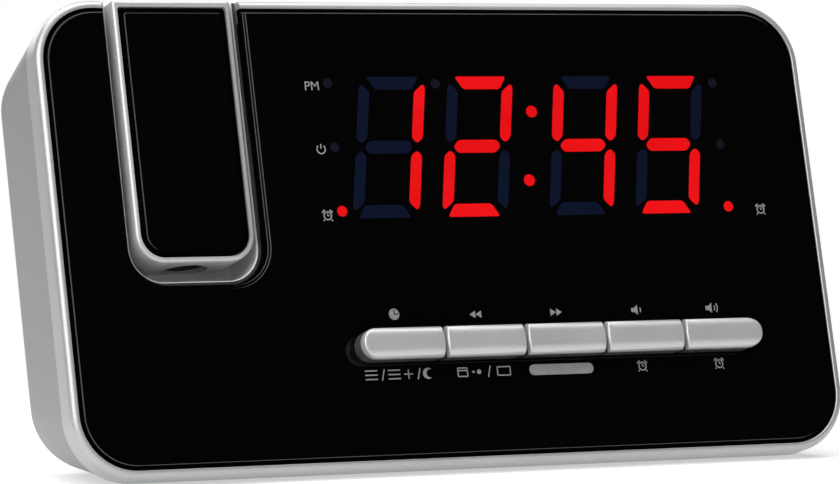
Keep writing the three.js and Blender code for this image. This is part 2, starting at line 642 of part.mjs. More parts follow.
const slot = (x, halfX, z, halfZ) => {
  const outline = roundRect(x - halfX, x + halfX, z - halfZ, z + halfZ, slotWidth * 0.45);
  return plate(outline, innerBack - 2, cabinet.depth + 1, 1);
};
const makeCabinet = () => {
  const { wall } = cabinet;
  const inside = loft([
    ring(seam - 1, caseAt(seam, wall)), ring(seam + 1, caseAt(seam + 1, wall)), ...backRings(wall),
  ]);
  const shell = cut(cabinetEnvelope, inside);
  const bosses = postAt.map(([x, z]) => rod("y", post.boss, [x, bossFront, z], innerBack + 0.5 - bossFront));
  const footPads = footAt.map((at) => levelled(footBody(foot.radius + 1.6, 0.5, foot.recess + gap + 1.2, at))
    .intersect(cabinetEnvelope));
  const bayWalls = bay(batteries.wall, bayFront - batteries.wall, innerBack + 0.5);
  const solids = joined(shell, ...bosses, ...footPads, bayWalls);
  const speakerSlots = [-3, -2, -1, 0, 1, 2, 3].map((i) => {
    const z = speaker.level + i * speaker.slotPitch;
    const half = Math.sqrt((speaker.radius - speaker.rim) ** 2 - (i * speaker.slotPitch) ** 2);
    return slot(speakerX, half, z, slotWidth / 2);
  });
  const ventSlots = Array.from({ length: vents.count }, (_, i) => {
    const x = -caseWidth / 2 + vents.fromLeft + i * vents.pitch;
    return slot(x, slotWidth / 2, vents.level, vents.height / 2);
  });
  const screwHoles = postAt.map(([x, z]) => joined(
    rod("y", screw.shaft + gap, [x, 0, z], cabinet.depth),
    rod("y", screw.head + gap, [x, headSeat, z], cabinet.depth),
  ));
  return cut(
    solids,
    bay(0, bayFront, cabinet.depth + 1),
    plate(doorShape(gap), doorFront - gap, cabinet.depth + 1),
    armOpening(0, tray.depth + tray.wall + gap, gap),
    capHole(snoozeX, snooze.width / 2),
    capHole(powerX, power.width / 2),
    rod("y", jack.bore + 0.5, [jackX, innerBack - 2, socketLevel], 20),
    rod("y", aerial.neck + gap, [aerialX, innerBack - 2, socketLevel], 20),
    ...speakerSlots,
    ...ventSlots,
    ...screwHoles,
    ...footAt.map((at) => levelled(footBody(foot.radius + gap, -1, foot.recess + gap, at))),
  );
};

const makeScrew = ([x, z]) => {
  const seat = headSeat + gap / 2;
  const slotFloor = seat + screw.headHeight - screw.slotDepth;
  const long = screw.slot / 2, narrow = screw.slotWidth / 2;
  return cut(
    joined(
      rod("y", screw.shaft, [x, seat + 0.5 - screw.length, z], screw.length, 12),
      rod("y", screw.head, [x, seat, z], screw.headHeight, 18),
    ),
    box(x - long, x + long, slotFloor, seat + 3, z - narrow, z + narrow),
    box(x - narrow, x + narrow, slotFloor, seat + 3, z - long, z + long),
  );
};

// ---- materials and the scene graph ----
const finish = (color, roughness, metalness = 0) =>
  new THREE.MeshStandardMaterial({ color, roughness, metalness });
const silver = () => finish(0xb9bbbd, 0.35, 0.3);
const gloss = () => finish(0x050506, 0.05);
const circuit = () => finish(0x1d4a2b, 0.6);
const steel = () => finish(0xa8a8a8, 0.3, 1);

const face = new THREE.Group();
const add = (group, name, made, material) => {
  const mesh = made.getMesh();
  const geometry = new THREE.BufferGeometry();
  geometry.setAttribute("position", new THREE.BufferAttribute(new Float32Array(mesh.vertProperties), 3));
  geometry.setIndex(new THREE.BufferAttribute(new Uint32Array(mesh.triVerts), 1));
  const node = new THREE.Mesh(geometry, material);
  node.name = name;
  group.add(node);
};

add(face, "front_bezel", makeBezel(), silver());
add(face, "front_panel", makePanel(), gloss());
add(face, "rear_cabinet", makeCabinet(), finish(0x9a9c9e, 0.5));
add(face, "arm_tray", makeTray(), silver());
add(face, "arm_frame", makeArmFrame(), silver());
add(face, "arm_insert", makeInsert(), gloss());
add(face, "arm_back_cover", makeArmCover(), silver());
add(face, "arm_axle", makePin(), steel());
add(face, "hinge_bush_left", makeBush(-1), finish(0xe8e8e4, 0.4));
add(face, "hinge_bush_right", makeBush(1), finish(0xe8e8e4, 0.4));
add(face, "lens_cell", makeLensCell(), finish(0x151515, 0.5));
add(face, "projector_lens", makeLens(), finish(0xdfe8ee, 0.03));
add(face, "focus_ring", makeFocusRing(), finish(0x1a1a1a, 0.6));
add(face, "projector_slide", makeSlide(), finish(0x2a2f36, 0.2));
add(face, "projector_led", makeLed(), finish(0xc01818, 0.15));
add(face, "projector_board", makeProjectorBoard(), circuit());

["clock", "back", "forward", "volume_down", "volume_up"].forEach((name, i) =>
  add(face, "button_" + name, makeButton(i), silver()));

add(face, "display_module", makeDisplay(), finish(0x101012, 0.4));
add(face, "button_board", makeButtonBoard(), circuit());
add(face, "main_board", makeMainBoard(), circuit());
add(face, "speaker_frame", makeSpeakerFrame(), steel());
add(face, "speaker_cone", makeCone(), finish(0x222222, 0.9));
add(face, "battery_door", makeDoor(), finish(0x9a9c9e, 0.5));
add(face, "battery_upper", makeCell(1), finish(0x2d6a8f, 0.4));
add(face, "battery_lower", makeCell(-1), finish(0x2d6a8f, 0.4));
add(face, "battery_contact_left", makeContact(-1), steel());
add(face, "battery_contact_right", makeContact(1), steel());
add(face, "dc_jack", makeJack(), finish(0x111111, 0.5));
add(face, "aerial_bush", makeAerialBush(), finish(0x111111, 0.7));
add(face, "snooze_bar", makeCap(snoozeX, snooze.width / 2), silver());
add(face, "power_button", makeCap(powerX, power.width / 2), silver());
["upper_left", "upper_right", "lower_left", "lower_right"].forEach((name, i) =>
  add(face, "screw_" + name, makeScrew(postAt[i]), steel()));

const base = new THREE.Group();
base.rotation.x = lean;
base.position.set(0, ...baseFront);
["front_left", "front_right", "back_left", "back_right"].forEach((name, i) => {
  const made = solid(footBody(foot.radius, -foot.height, foot.recess, footAt[i]));
  add(base, "foot_" + name, made, finish(0x161616, 0.9));
});
face.add(base);
face.rotation.x = -lean;

// The origin is under the middle of the whole object, at the level that its feet stand on.
const clockRadio = new THREE.Group();
clockRadio.add(face);
clockRadio.updateMatrixWorld(true);
const bounds = new THREE.Box3().setFromObject(clockRadio, true);
face.position.set(
  -(bounds.min.x + bounds.max.x) / 2, -(bounds.min.y + bounds.max.y) / 2, -bounds.min.z,
);

export default clockRadio;
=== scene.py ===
"""The looks of the clock radio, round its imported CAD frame."""

import json
import math

import bmesh
import bpy
from mathutils import Matrix, Vector


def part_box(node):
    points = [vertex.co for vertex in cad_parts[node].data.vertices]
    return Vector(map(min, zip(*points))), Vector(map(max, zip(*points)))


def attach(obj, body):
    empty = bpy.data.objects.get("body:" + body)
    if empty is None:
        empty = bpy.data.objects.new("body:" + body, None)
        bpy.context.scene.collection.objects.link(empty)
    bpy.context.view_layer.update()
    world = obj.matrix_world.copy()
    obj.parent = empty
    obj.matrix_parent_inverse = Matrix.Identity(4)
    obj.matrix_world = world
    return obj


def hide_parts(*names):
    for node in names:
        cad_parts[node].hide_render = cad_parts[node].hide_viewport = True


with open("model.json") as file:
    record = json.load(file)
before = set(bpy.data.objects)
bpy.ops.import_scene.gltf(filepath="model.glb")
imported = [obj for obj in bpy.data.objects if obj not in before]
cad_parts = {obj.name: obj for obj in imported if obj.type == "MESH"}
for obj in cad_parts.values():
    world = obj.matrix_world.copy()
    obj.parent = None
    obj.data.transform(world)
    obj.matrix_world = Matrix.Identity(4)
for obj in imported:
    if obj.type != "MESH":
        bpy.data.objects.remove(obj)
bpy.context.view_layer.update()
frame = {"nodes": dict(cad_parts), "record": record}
nodes = frame["nodes"]
joints = {j["name"]: j for j in frame["record"]["behaviour"]["joints"]}

# ---- the face frame, in millimetres: x right, y into the case, z up the face ----
INTO = Vector(joints["button_clock_press"]["axis"])
UP = Vector(joints["focus_turn"]["axis"])
PIVOT = (-58.4, 7.0, 42.8)  # the arm's hinge in the face frame
ORIGIN = (Vector(joints["arm_flip"]["pos_m"]) * 1000 - Vector((PIVOT[0], 0, 0))
          - INTO * PIVOT[1] - UP * PIVOT[2])
FACE = Matrix.Scale(0.001, 4) @ Matrix((
    (1, INTO.x, UP.x, ORIGIN.x), (0, INTO.y, UP.y, ORIGIN.y), (0, INTO.z, UP.z, ORIGIN.z), (0, 0, 0, 1)))

LEAN = math.radians(15.2)
SIDE_TAPER = math.tan(math.radians(8))
TOP_TAPER = math.tan(math.radians(6))
GAP = 0.3  # between neighbours
PANEL_X, PANEL_Z, PANEL_CORNER, PANEL_THICK = 87.7, 48.0, 11.5, 2.0
RIM, RIM_ROUND = 1.8, 1.5
CASE_X, CASE_Z, CASE_CORNER = PANEL_X + RIM, PANEL_Z + RIM, PANEL_CORNER + RIM
BEZEL_DEPTH, CABINET_DEPTH, WALL, STEP = 5.6, 37.0, 2.2, 0.3
SEAM = BEZEL_DEPTH + GAP
INNER_BACK = CABINET_DEPTH - WALL
BACK_ROUND, BASE_ROUND = 5.0, 1.8
BEYOND = 40.0  # a depth well behind the back
ARM_X, ARM_HALF, ARM_BOTTOM, ARM_DEPTH, ARM_CORNER = -58.4, 13.2, -5.6, 14.0, 6.0
ARM_WALL, ARM_SPLIT, ARM_TOP_ROUND = 1.6, 9.0, 5.5
TRAY_HALF, TRAY_BOTTOM, TRAY_CORNER, TRAY_WALL, TRAY_DEPTH = 14.15, -9.2, 6.95, 0.9, 18.4
OPENING = (TRAY_HALF + TRAY_WALL + GAP, TRAY_BOTTOM - TRAY_WALL - GAP, TRAY_CORNER + TRAY_WALL + GAP)
PIN_BORE = 1.8
ROW_X, ROW_Z, ROW_HALF, PITCH, BUTTON_HALF = 21.5, -24.4, 47.125, 18.85, 3.25
DOOR, DOOR_THICK = (-34.5, 18.5, -25.7, 1.7), 1.8  # x0, x1, z0, z1
BAY = (-32.5, 16.5, -23.7, -0.3)
BAY_FRONT = INNER_BACK - 12.2
BAY_WALL = 1.4


# ---- making solids ----
def rounded(x0, x1, z0, z1, low, high=None, steps=10):
    """The points of a rectangle with round corners, in x and z, from the lower right corner round."""
    high = low if high is None else high
    points = []
    for cx, cz, r, turn in ((x1 - low, z0 + low, low, -1), (x1 - high, z1 - high, high, 0),
                            (x0 + high, z1 - high, high, 1), (x0 + low, z0 + low, low, 2)):
        for i in range(steps + 1):
            a = (turn + i / steps) * math.pi / 2
            points.append((cx + r * math.cos(a), cz + r * math.sin(a)))
    return points


def disc(x, z, radius, sides=28):
    return [(x + radius * math.cos(2 * math.pi * i / sides), z + radius * math.sin(2 * math.pi * i / sides))
            for i in range(sides)]


def link(bm, name="piece"):
    bmesh.ops.recalc_face_normals(bm, faces=bm.faces)
    mesh = bpy.data.meshes.new(name)
    bm.to_mesh(mesh)
    bm.free()
    obj = bpy.data.objects.new(name, mesh)
    bpy.context.scene.collection.objects.link(obj)
    return obj


def skin(rings, closed=False):
    """A solid through rings of points; closed joins the last ring to the first, like a frame."""
    bm = bmesh.new()
    rows = [[bm.verts.new(p) for p in ring] for ring in rings]
    n = len(rows[0])
    pairs = list(zip(rows, rows[1:])) + ([(rows[-1], rows[0])] if closed else [])
    for a, b in pairs:
        for i in range(n):
            j = (i + 1) % n
            bm.faces.new((a[i], a[j], b[j], b[i]))
    if not closed:
        bm.faces.new(rows[0])
        bm.faces.new(rows[-1])
    return link(bm)


def at_depth(outline, y):
    return [(x, y, z) for x, z in outline]


def plate(outline, y0, y1):
    return skin([at_depth(outline, y0), at_depth(outline, y1)])


def box(x0, x1, y0, y1, z0, z1):
    return plate([(x1, z0), (x1, z1), (x0, z1), (x0, z0)], y0, y1)


def slab(outline, z0, z1):
    return skin([[(x, y, z) for x, y in outline] for z in (z0, z1)])


def side_profile(points, x0, x1):
    return skin([[(x, y, z) for y, z in points] for x in (x0, x1)])


def rod(axis, radius, centre, length, sides=48):
    """A cylinder from centre along y (or x) by length."""
    circle = disc(0, 0, radius, sides)
    x, y, z = centre
    if axis == "x":
        return skin([[(x + d, y + a, z + b) for a, b in circle] for d in (0, length)])
    return skin([[(x + a, y + d, z + b) for a, b in circle] for d in (0, length)])


def combine(base, operation, others):
    for other in others:
        modifier = base.modifiers.new("boolean", "BOOLEAN")
        modifier.operation, modifier.solver, modifier.object = operation, "EXACT", other
    mesh = bpy.data.meshes.new_from_object(base.evaluated_get(bpy.context.evaluated_depsgraph_get()))
    base.modifiers.clear()
    base.data = mesh
    for other in others:
        bpy.data.objects.remove(other)
    return base


def cut(base, *others):
    return combine(base, "DIFFERENCE", others)


def keep(base, *others):
    return combine(base, "INTERSECT", others)


def join(base, *others):
    return combine(base, "UNION", others)


def case_ring(depth, inset=0.0, base_inset=None, steps=14):
    """The outline of the case at a depth, drawn in by an inset."""
    base_inset = inset if base_inset is None else base_inset
    back = max(0.0, depth - BEZEL_DEPTH)
    step = STEP if depth > BEZEL_DEPTH else 0.0
    half = CASE_X - step - back * SIDE_TAPER - inset
    top = CASE_Z - step - back * TOP_TAPER - inset
    bottom = -CASE_Z + step + back * math.tan(LEAN) + base_inset
    corner = max(0.4, CASE_CORNER - step - inset)
    return at_depth(rounded(-half, half, bottom, top, corner, steps=steps), depth)


def quarter(radius, steps=8):
    """(depth, inset) along a quarter-round edge, from the flat face to the side."""
    for i in range(steps + 1):
        a = i / steps * math.pi / 2
        yield radius * (1 - math.cos(a)), radius * (1 - math.sin(a))


def arm_outline(grow_half, bottom, corner, top=CASE_Z + 10):
    return rounded(ARM_X - grow_half, ARM_X + grow_half, bottom, top, corner, 0.02)


def arm_opening(y0, y1, flare=0.0, flare_depth=0.5):
    """What the tray's opening cuts away: flare widens its mouth at the front face."""
    half, bottom, corner = OPENING

    def at(y, grow):
        return at_depth(arm_outline(half + grow, bottom - grow, corner + grow), y)

    if not flare:
        return skin([at(y0, 0), at(y1, 0)])
    return skin([at(-flare_depth, 2 * flare), at(flare_depth, 0), at(y1, 0)])


def pin_hole():
    return rod("x", PIN_BORE, (ARM_X - 30, PIVOT[1], PIVOT[2]), 60)


# ---- materials ----
def node(tree, kind, **settings):
    made = tree.nodes.new(kind)
    for key, value in settings.items():
        if key in made.inputs:
            made.inputs[key].default_value = value
        else:
            setattr(made, key, value)
    return made


def material(name, color, roughness, metallic=0.0, vary=0.06, vary_scale=60.0, grain=1500.0, bump=0.0,
             rough_vary=0.05, specular=0.5, coat=0.0, coat_roughness=0.1, **sockets):
    """A moulded, painted or metal surface: its colour drifts, and its sheen and relief have a fine grain."""
    made = bpy.data.materials.new(name)
    made.use_nodes = True
    tree = made.node_tree
    shader = tree.nodes["Principled BSDF"]
    shader.inputs["Metallic"].default_value = metallic
    shader.inputs["Specular IOR Level"].default_value = specular
    shader.inputs["Coat Weight"].default_value = coat
    shader.inputs["Coat Roughness"].default_value = coat_roughness
    for key, value in sockets.items():
        shader.inputs[key.replace("_", " ")].default_value = value
    where = node(tree, "ShaderNodeTexCoord")
    broad = node(tree, "ShaderNodeTexNoise", Scale=vary_scale, Detail=4.0)
    fine = node(tree, "ShaderNodeTexNoise", Scale=grain, Detail=2.0)
    for texture in (broad, fine):
        tree.links.new(where.outputs["Object"], texture.inputs["Vector"])
    both = node(tree, "ShaderNodeMath", operation="ADD")
    tree.links.new(broad.outputs["Fac"], both.inputs[0])
    tree.links.new(fine.outputs["Fac"], both.inputs[1])
    ramp = node(tree, "ShaderNodeValToRGB")
    low, high = ramp.color_ramp.elements
    low.position, high.position = 0.35, 0.65
    low.color = (*[c * (1 - vary) for c in color], 1)
    high.color = (*[min(1.0, c * (1 + vary)) for c in color], 1)
    half = node(tree, "ShaderNodeMath", operation="MULTIPLY")
    half.inputs[1].default_value = 0.5
    tree.links.new(both.outputs[0], half.inputs[0])
    tree.links.new(half.outputs[0], ramp.inputs["Fac"])
    tree.links.new(ramp.outputs["Color"], shader.inputs["Base Color"])
    sheen = node(tree, "ShaderNodeMapRange")
    sheen.inputs["From Min"].default_value, sheen.inputs["From Max"].default_value = 0.3, 0.7
    sheen.inputs["To Min"].default_value = max(0.02, roughness - rough_vary)
    sheen.inputs["To Max"].default_value = min(1.0, roughness + rough_vary)
    tree.links.new(half.outputs[0], sheen.inputs["Value"])
    tree.links.new(sheen.outputs["Result"], shader.inputs["Roughness"])
    if bump:
        relief = node(tree, "ShaderNodeBump")
        relief.inputs["Strength"].default_value = 0.5
        relief.inputs["Distance"].default_value = bump / 1000
        tree.links.new(fine.outputs["Fac"], relief.inputs["Height"])
        tree.links.new(relief.outputs["Normal"], shader.inputs["Normal"])
    return made


def glowing(name, color, strength):
    """A lit segment behind its diffuser: its light is a little uneven."""
    made = material(name, tuple(c * 0.05 for c in color), 0.35, grain=900)
    tree = made.node_tree
    shader = tree.nodes["Principled BSDF"]
    texture = next(n for n in tree.nodes if n.type == "TEX_NOISE")
    ramp = node(tree, "ShaderNodeValToRGB")
    low, high = ramp.color_ramp.elements
    low.position, high.position = 0.3, 0.7
    low.color = (*[c * 0.86 for c in color], 1)
    high.color = (*color, 1)
    tree.links.new(texture.outputs["Fac"], ramp.inputs["Fac"])
    tree.links.new(ramp.outputs["Color"], shader.inputs["Emission Color"])
    shader.inputs["Emission Strength"].default_value = strength
    return made


SILVER = material("silver_paint", (0.44, 0.44, 0.445), 0.4, metallic=0.5, vary=0.05, grain=2600, bump=0.01)
# painted light: a lighter copy of the silver paint for the arm, standing in for light that the recess keeps
# off its sides
ARM_SILVER_LIGHTENED = material("silver_arm_paint_lightened", (0.53, 0.53, 0.535), 0.4, metallic=0.4, vary=0.05, grain=2600, bump=0.01)
BUTTON = material("silver_button_paint", (0.52, 0.52, 0.53), 0.4, metallic=0.4, vary=0.05, grain=2600,
                  bump=0.01, coat=0.5, coat_roughness=0.2)
# painted light: a much lighter copy of the silver paint for the tray, brightening the scoop that lies in
# shade in the recess
TRAY_SILVER_LIGHTENED = material("tray_silver_lightened", (0.74, 0.74, 0.745), 0.5, metallic=0.2, vary=0.06, grain=2600, bump=0.01)
CASE = material("grey_case_plastic", (0.22, 0.222, 0.224), 0.45, metallic=0.15, vary=0.05, grain=1700,
                bump=0.03)
GLOSS = material("black_gloss_acrylic", (0.0008, 0.0008, 0.0009), 0.07, vary=0.3, vary_scale=18,
                 rough_vary=0.02, specular=0.28)
DULL = material("black_edge", (0.0008, 0.0008, 0.0009), 0.9, vary=0.3, specular=0.0)
# painted highlight: this grey goes on thin strips on the black face, where a polished bevel would catch the
# light
EDGE = material("painted_edge_highlight", (0.10, 0.102, 0.108), 0.3, metallic=0.3, vary=0.12, vary_scale=90)
STEEL = material("steel", (0.56, 0.56, 0.57), 0.3, metallic=1.0, vary=0.05, grain=900, rough_vary=0.08)
NYLON = material("white_nylon", (0.74, 0.74, 0.71), 0.45, grain=1400, bump=0.02)
BLACK = material("black_moulding", (0.012, 0.012, 0.013), 0.48, vary=0.2, grain=1500, bump=0.03)
RUBBER = material("rubber", (0.011, 0.011, 0.011), 0.8, vary=0.25, grain=1100, bump=0.06, rough_vary=0.1)
PAPER = material("paper_cone", (0.016, 0.015, 0.014), 0.9, vary=0.35, vary_scale=400, grain=1800, bump=0.08)
CIRCUIT = material("circuit_board", (0.02, 0.10, 0.045), 0.4, vary=0.2, vary_scale=300, grain=1200)


def banded(made, bands):
    """Rings of colour along x, in metres: each band starts where the one before it ends."""
    tree = made.node_tree
    where = node(tree, "ShaderNodeTexCoord")
    split = node(tree, "ShaderNodeSeparateXYZ")
    reach = node(tree, "ShaderNodeMapRange")
    start, end = bands[0][0], bands[-1][0]
    reach.inputs["From Min"].default_value, reach.inputs["From Max"].default_value = start, end
    ramp = node(tree, "ShaderNodeValToRGB")
    ramp.color_ramp.interpolation = "CONSTANT"
    while len(ramp.color_ramp.elements) < len(bands) - 1:
        ramp.color_ramp.elements.new(0.5)
    for element, (place, color) in zip(ramp.color_ramp.elements, bands):
        element.position = (place - start) / (end - start)
        element.color = (*color, 1)
    tree.links.new(where.outputs["Object"], split.inputs[0])
    tree.links.new(split.outputs["X"], reach.inputs["Value"])
    tree.links.new(reach.outputs["Result"], ramp.inputs["Fac"])
    tree.links.new(ramp.outputs["Color"], tree.nodes["Principled BSDF"].inputs["Base Color"])
    return made


STEEL_TONE, SLEEVE_TONE, BAND_TONE = (0.45, 0.45, 0.46), (0.02, 0.12, 0.26), (0.014, 0.014, 0.015)
POSITIVE_STEEL, NEGATIVE_STEEL, BAND_END = 0.0025, 0.0018, 0.0145  # metres from the cell's end


def sleeve(cell, positive_right):
    """The cell's printed sleeve: a dark band marks its positive end, and the metal shows at both ends."""
    (start, _, _), (end, _, _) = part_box(cell)
    made = material("battery_sleeve", SLEEVE_TONE, 0.3, vary=0.12, vary_scale=120, coat=0.4)
    if positive_right:
        bands = ((start, STEEL_TONE), (start + NEGATIVE_STEEL, SLEEVE_TONE), (end - BAND_END, BAND_TONE),
                 (end - POSITIVE_STEEL, STEEL_TONE), (end, STEEL_TONE))
    else:
        bands = ((start, STEEL_TONE), (start + POSITIVE_STEEL, BAND_TONE), (start + BAND_END, SLEEVE_TONE),
                 (end - NEGATIVE_STEEL, STEEL_TONE), (end, STEEL_TONE))
    return banded(made, bands)


DISPLAY = material("display_black", (0.01, 0.01, 0.012), 0.4, vary=0.2)
LENS = material("lens_glass", (0.9, 0.93, 0.95), 0.04, vary=0.01, rough_vary=0.01, Transmission_Weight=0.9)
SLIDE = material("slide_glass", (0.03, 0.04, 0.06), 0.1, vary=0.2, Transmission_Weight=0.3)
LED = material("led_red", (0.5, 0.02, 0.02), 0.15, vary=0.15, Transmission_Weight=0.4)
PRINT = material("pale_print", (0.26, 0.26, 0.27), 0.5, vary=0.12, vary_scale=500)
# painted shade: a near black put on the buttons' sides and on the tray's front lip, where the lamps would
# light them
SIDE_SHADE = material("painted_side_shade", (0.05, 0.05, 0.052), 0.3, vary=0.15, grain=1500)
LIT = glowing("lit_segment", (1.0, 0.0015, 0.004), 0.80)
UNLIT = material("unlit_segment", (0.0005, 0.0030, 0.016), 0.6, vary=0.1, specular=0.1)
DOTS = material("unlit_dot", (0.0025, 0.0035, 0.010), 0.6, vary=0.1, specular=0.1)


# ---- finishing a piece ----
SHARP = 32  # degrees over which an edge of a visual piece is sharp
WELD_DISTANCE = 0.002


def smooth(obj, angle):
    for face in obj.data.polygons:
        face.use_smooth = True
    obj.data.set_sharp_from_angle(angle=math.radians(angle))


def round_edges(obj, width, segments, angle):
    modifier = obj.modifiers.new("edges", "BEVEL")
    modifier.width, modifier.segments = width / 1000, segments
    modifier.limit_method, modifier.angle_limit = "ANGLE", math.radians(angle)
    modifier.harden_normals = True
    return modifier


def piece(obj, name, look, body, slot_name, *stands_for, bevel=0.0, segments=2, angle=SHARP, second=None):
    """obj, made in the face frame in mm, becomes a finished piece on a body.

    second is (material, test): the faces that pass the test get that material instead of look.
    """
    obj.name = obj.data.name = name
    bm = bmesh.new()
    bm.from_mesh(obj.data)
    bmesh.ops.remove_doubles(bm, verts=bm.verts, dist=WELD_DISTANCE)
    if second is None or second[0] is DULL:
        bmesh.ops.dissolve_limit(bm, angle_limit=math.radians(0.3), verts=bm.verts, edges=bm.edges)
    bm.to_mesh(obj.data)
    bm.free()
    obj.data.materials.clear()
    obj.data.materials.append(look)
    if second:
        obj.data.materials.append(second[0])
    for face in obj.data.polygons:
        face.material_index = int(bool(second) and second[1](face))
    obj.data.transform(FACE)
    smooth(obj, angle)
    if bevel:
        round_edges(obj, bevel, segments, angle).use_clamp_overlap = False
    if stands_for:
        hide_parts(*stands_for)
    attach(obj, body)
    return obj


# ---- front bezel: a frame whose profile runs round the panel ----
INNER = RIM - GAP / 2
BREAK = 0.12  # the small chamfer on the rim's inner edge
LEDGE_DEPTH, LEDGE_REACH = PANEL_THICK + GAP, 4.4  # the ledge that the panel lies on
profile = [(BEZEL_DEPTH, 0.0), (2.6, 0.0)] + list(quarter(RIM_ROUND))[::-1] + [
    (0.0, INNER - BREAK), (BREAK, INNER), (LEDGE_DEPTH, INNER), (LEDGE_DEPTH, LEDGE_REACH),
    (BEZEL_DEPTH, LEDGE_REACH)]
bezel = skin([[(x, d, z) for x, _, z in case_ring(0, i)] for d, i in profile], closed=True)
cut(bezel, arm_opening(-2, 8))
piece(bezel, "bezel", SILVER, "root", "silver_shell", "front_bezel")

# ---- front panel ----
FLARE, FLARE_DEPTH = 0.8, 0.3


def panel_ring(y, inset):
    return at_depth(rounded(-PANEL_X + inset, PANEL_X - inset, -PANEL_Z + inset, PANEL_Z - inset,
                            PANEL_CORNER - inset, steps=14), y)


def row_outline(grow):
    return rounded(ROW_X - ROW_HALF - grow, ROW_X + ROW_HALF + grow, ROW_Z - BUTTON_HALF - grow,
                   ROW_Z + BUTTON_HALF + grow, BUTTON_HALF + grow - 0.01)


ROW_FLARE, ROW_FLARE_DEPTH = 0.3, 0.15
THROUGH = PANEL_THICK + 1


def off_front(face):
    return face.normal.y > -0.97


panel = skin([panel_ring(0, FLARE), panel_ring(FLARE_DEPTH, 0), panel_ring(PANEL_THICK, 0)])
cut(panel, arm_opening(0, THROUGH, 0.3, 0.2),
    skin([at_depth(row_outline(GAP + ROW_FLARE), -ROW_FLARE_DEPTH),
          at_depth(row_outline(GAP), ROW_FLARE_DEPTH), at_depth(row_outline(GAP), THROUGH)]))
piece(panel, "panel", GLOSS, "root", "black_gloss", "front_panel", angle=12, second=(DULL, off_front))


FRONT, BEHIND = -0.03, 0.02  # what is drawn on the panel lies between these depths


def highlight_crescent(outline, dx, dz, y0=FRONT, y1=BEHIND):
    """The band that an outline leaves when it is moved a little: a painted highlight that shows on two sides
    only.
    """
    return cut(plate(outline, y0, y1), plate([(x + dx, z + dz) for x, z in outline], y0 - 1, y1 + 1))


edge = rounded(-PANEL_X + FLARE, PANEL_X - FLARE, -PANEL_Z + FLARE, PANEL_Z - FLARE,
               PANEL_CORNER - FLARE, steps=14)
# a painted highlight line along the left, top and bottom of the panel's bevel edge
panel_highlight = cut(join(highlight_crescent(edge, 0.26, -0.2), highlight_crescent(edge, 0.2, 0.12)), arm_opening(-1, 1))
piece(panel_highlight, "panel_painted_highlight", EDGE, "root", "black_gloss")


def beside_opening(grow, dx=0.0):
    outline = arm_outline(OPENING[0] + grow, OPENING[1] - grow, OPENING[2] + grow)
    return [(x + dx, z) for x, z in outline]


def highlight_beside(grow, width):
    """A painted highlight line on the right of the opening: it narrows to nothing along the bottom."""
    return cut(plate(beside_opening(grow, width), FRONT, BEHIND), plate(beside_opening(grow), -1, 1))


# a painted highlight line beside the right of the arm's opening, where the panel's bevel would catch the
# light
opening_highlight = join(highlight_beside(0.9, 0.26), highlight_beside(0.3, 0.22))
keep(opening_highlight, skin([panel_ring(-1, FLARE), panel_ring(1, FLARE)]))
piece(opening_highlight, "opening_painted_highlight", EDGE, "root", "black_gloss")

# ---- rear cabinet ----
POSTS = [(-78.5, 32.0), (78.5, 32.0), (-78.5, -27.0), (78.5, -27.0)]
BOSS, BOSS_FRONT, HEAD_BORE, HEAD_SEAT, SHAFT_BORE = 4.4, 18.3, 3.2, 21, 1.7
SLOT_CORNER = 0.95
SPEAKER_X, SPEAKER_REACH, SPEAKER_PITCH = 46, 17, 4.6
SPEAKER_SLOTS = 3  # on each side of the middle one
VENT_X, VENT_Z, VENT_PITCH, VENT_HALF, VENT_COUNT = -61, 19, 5, 11, 5
SLOT_HALF = 1.0
JACK, JACK_BORE = (-54, 33, -26), 3.3
AERIAL, AERIAL_BORE = (-66, 33, -26), 2.5
FOOT_BORE, FOOT_BORE_DEPTH = 4.1, 4.2
TOP_CAPS = ((18, 31, "snooze_bar"), (66, 4.6, "power_button"))  # middle, half length and name
CAP_FRONT, CAP_BACK, CAP_CORNER = 16, 28, 3


def back_rings(wall, steps=8):
    end = CABINET_DEPTH - wall
    radius = max(1.0, BACK_ROUND - wall)
    share = BASE_ROUND / BACK_ROUND
    return [case_ring(end - back, wall + inset, wall + inset * share)
            for back, inset in reversed(list(quarter(radius, steps)))]


def slot(x, half_x, z, half_z):
    outline = rounded(x - half_x, x + half_x, z - half_z, z + half_z, SLOT_CORNER, steps=4)
    return plate(outline, INNER_BACK - 2, BEYOND)


def cap_outline(x, half, grow):
    return rounded(x - half - grow, x + half + grow, CAP_FRONT - grow, CAP_BACK + grow,
                   CAP_CORNER + grow, steps=8)


cabinet = skin([case_ring(SEAM), *back_rings(0)])
inside = skin([case_ring(SEAM - 1, WALL), *back_rings(WALL)])
cut(cabinet, inside)
join(cabinet, box(BAY[0] - BAY_WALL, BAY[1] + BAY_WALL, BAY_FRONT - BAY_WALL, INNER_BACK + 0.5,
                  BAY[2] - BAY_WALL, BAY[3] + BAY_WALL))
cut(cabinet,
    box(BAY[0], BAY[1], BAY_FRONT, BEYOND, BAY[2], BAY[3]),
    plate(rounded(DOOR[0] - GAP, DOOR[1] + GAP, DOOR[2] - GAP, DOOR[3] + GAP, 1.5),
          CABINET_DEPTH - DOOR_THICK - GAP, BEYOND),
    arm_opening(0, TRAY_DEPTH + TRAY_WALL + GAP),
    *(slab(cap_outline(x, half, GAP), 30, 60) for x, half, _ in TOP_CAPS),
    rod("y", JACK_BORE, JACK, 8), rod("y", AERIAL_BORE, AERIAL, 8))
for i in range(-SPEAKER_SLOTS, SPEAKER_SLOTS + 1):
    z = i * SPEAKER_PITCH
    cut(cabinet, slot(SPEAKER_X, math.sqrt(SPEAKER_REACH ** 2 - z ** 2), z, SLOT_HALF))
for i in range(VENT_COUNT):
    cut(cabinet, slot(VENT_X + VENT_PITCH * i, SLOT_HALF, VENT_Z, VENT_HALF))
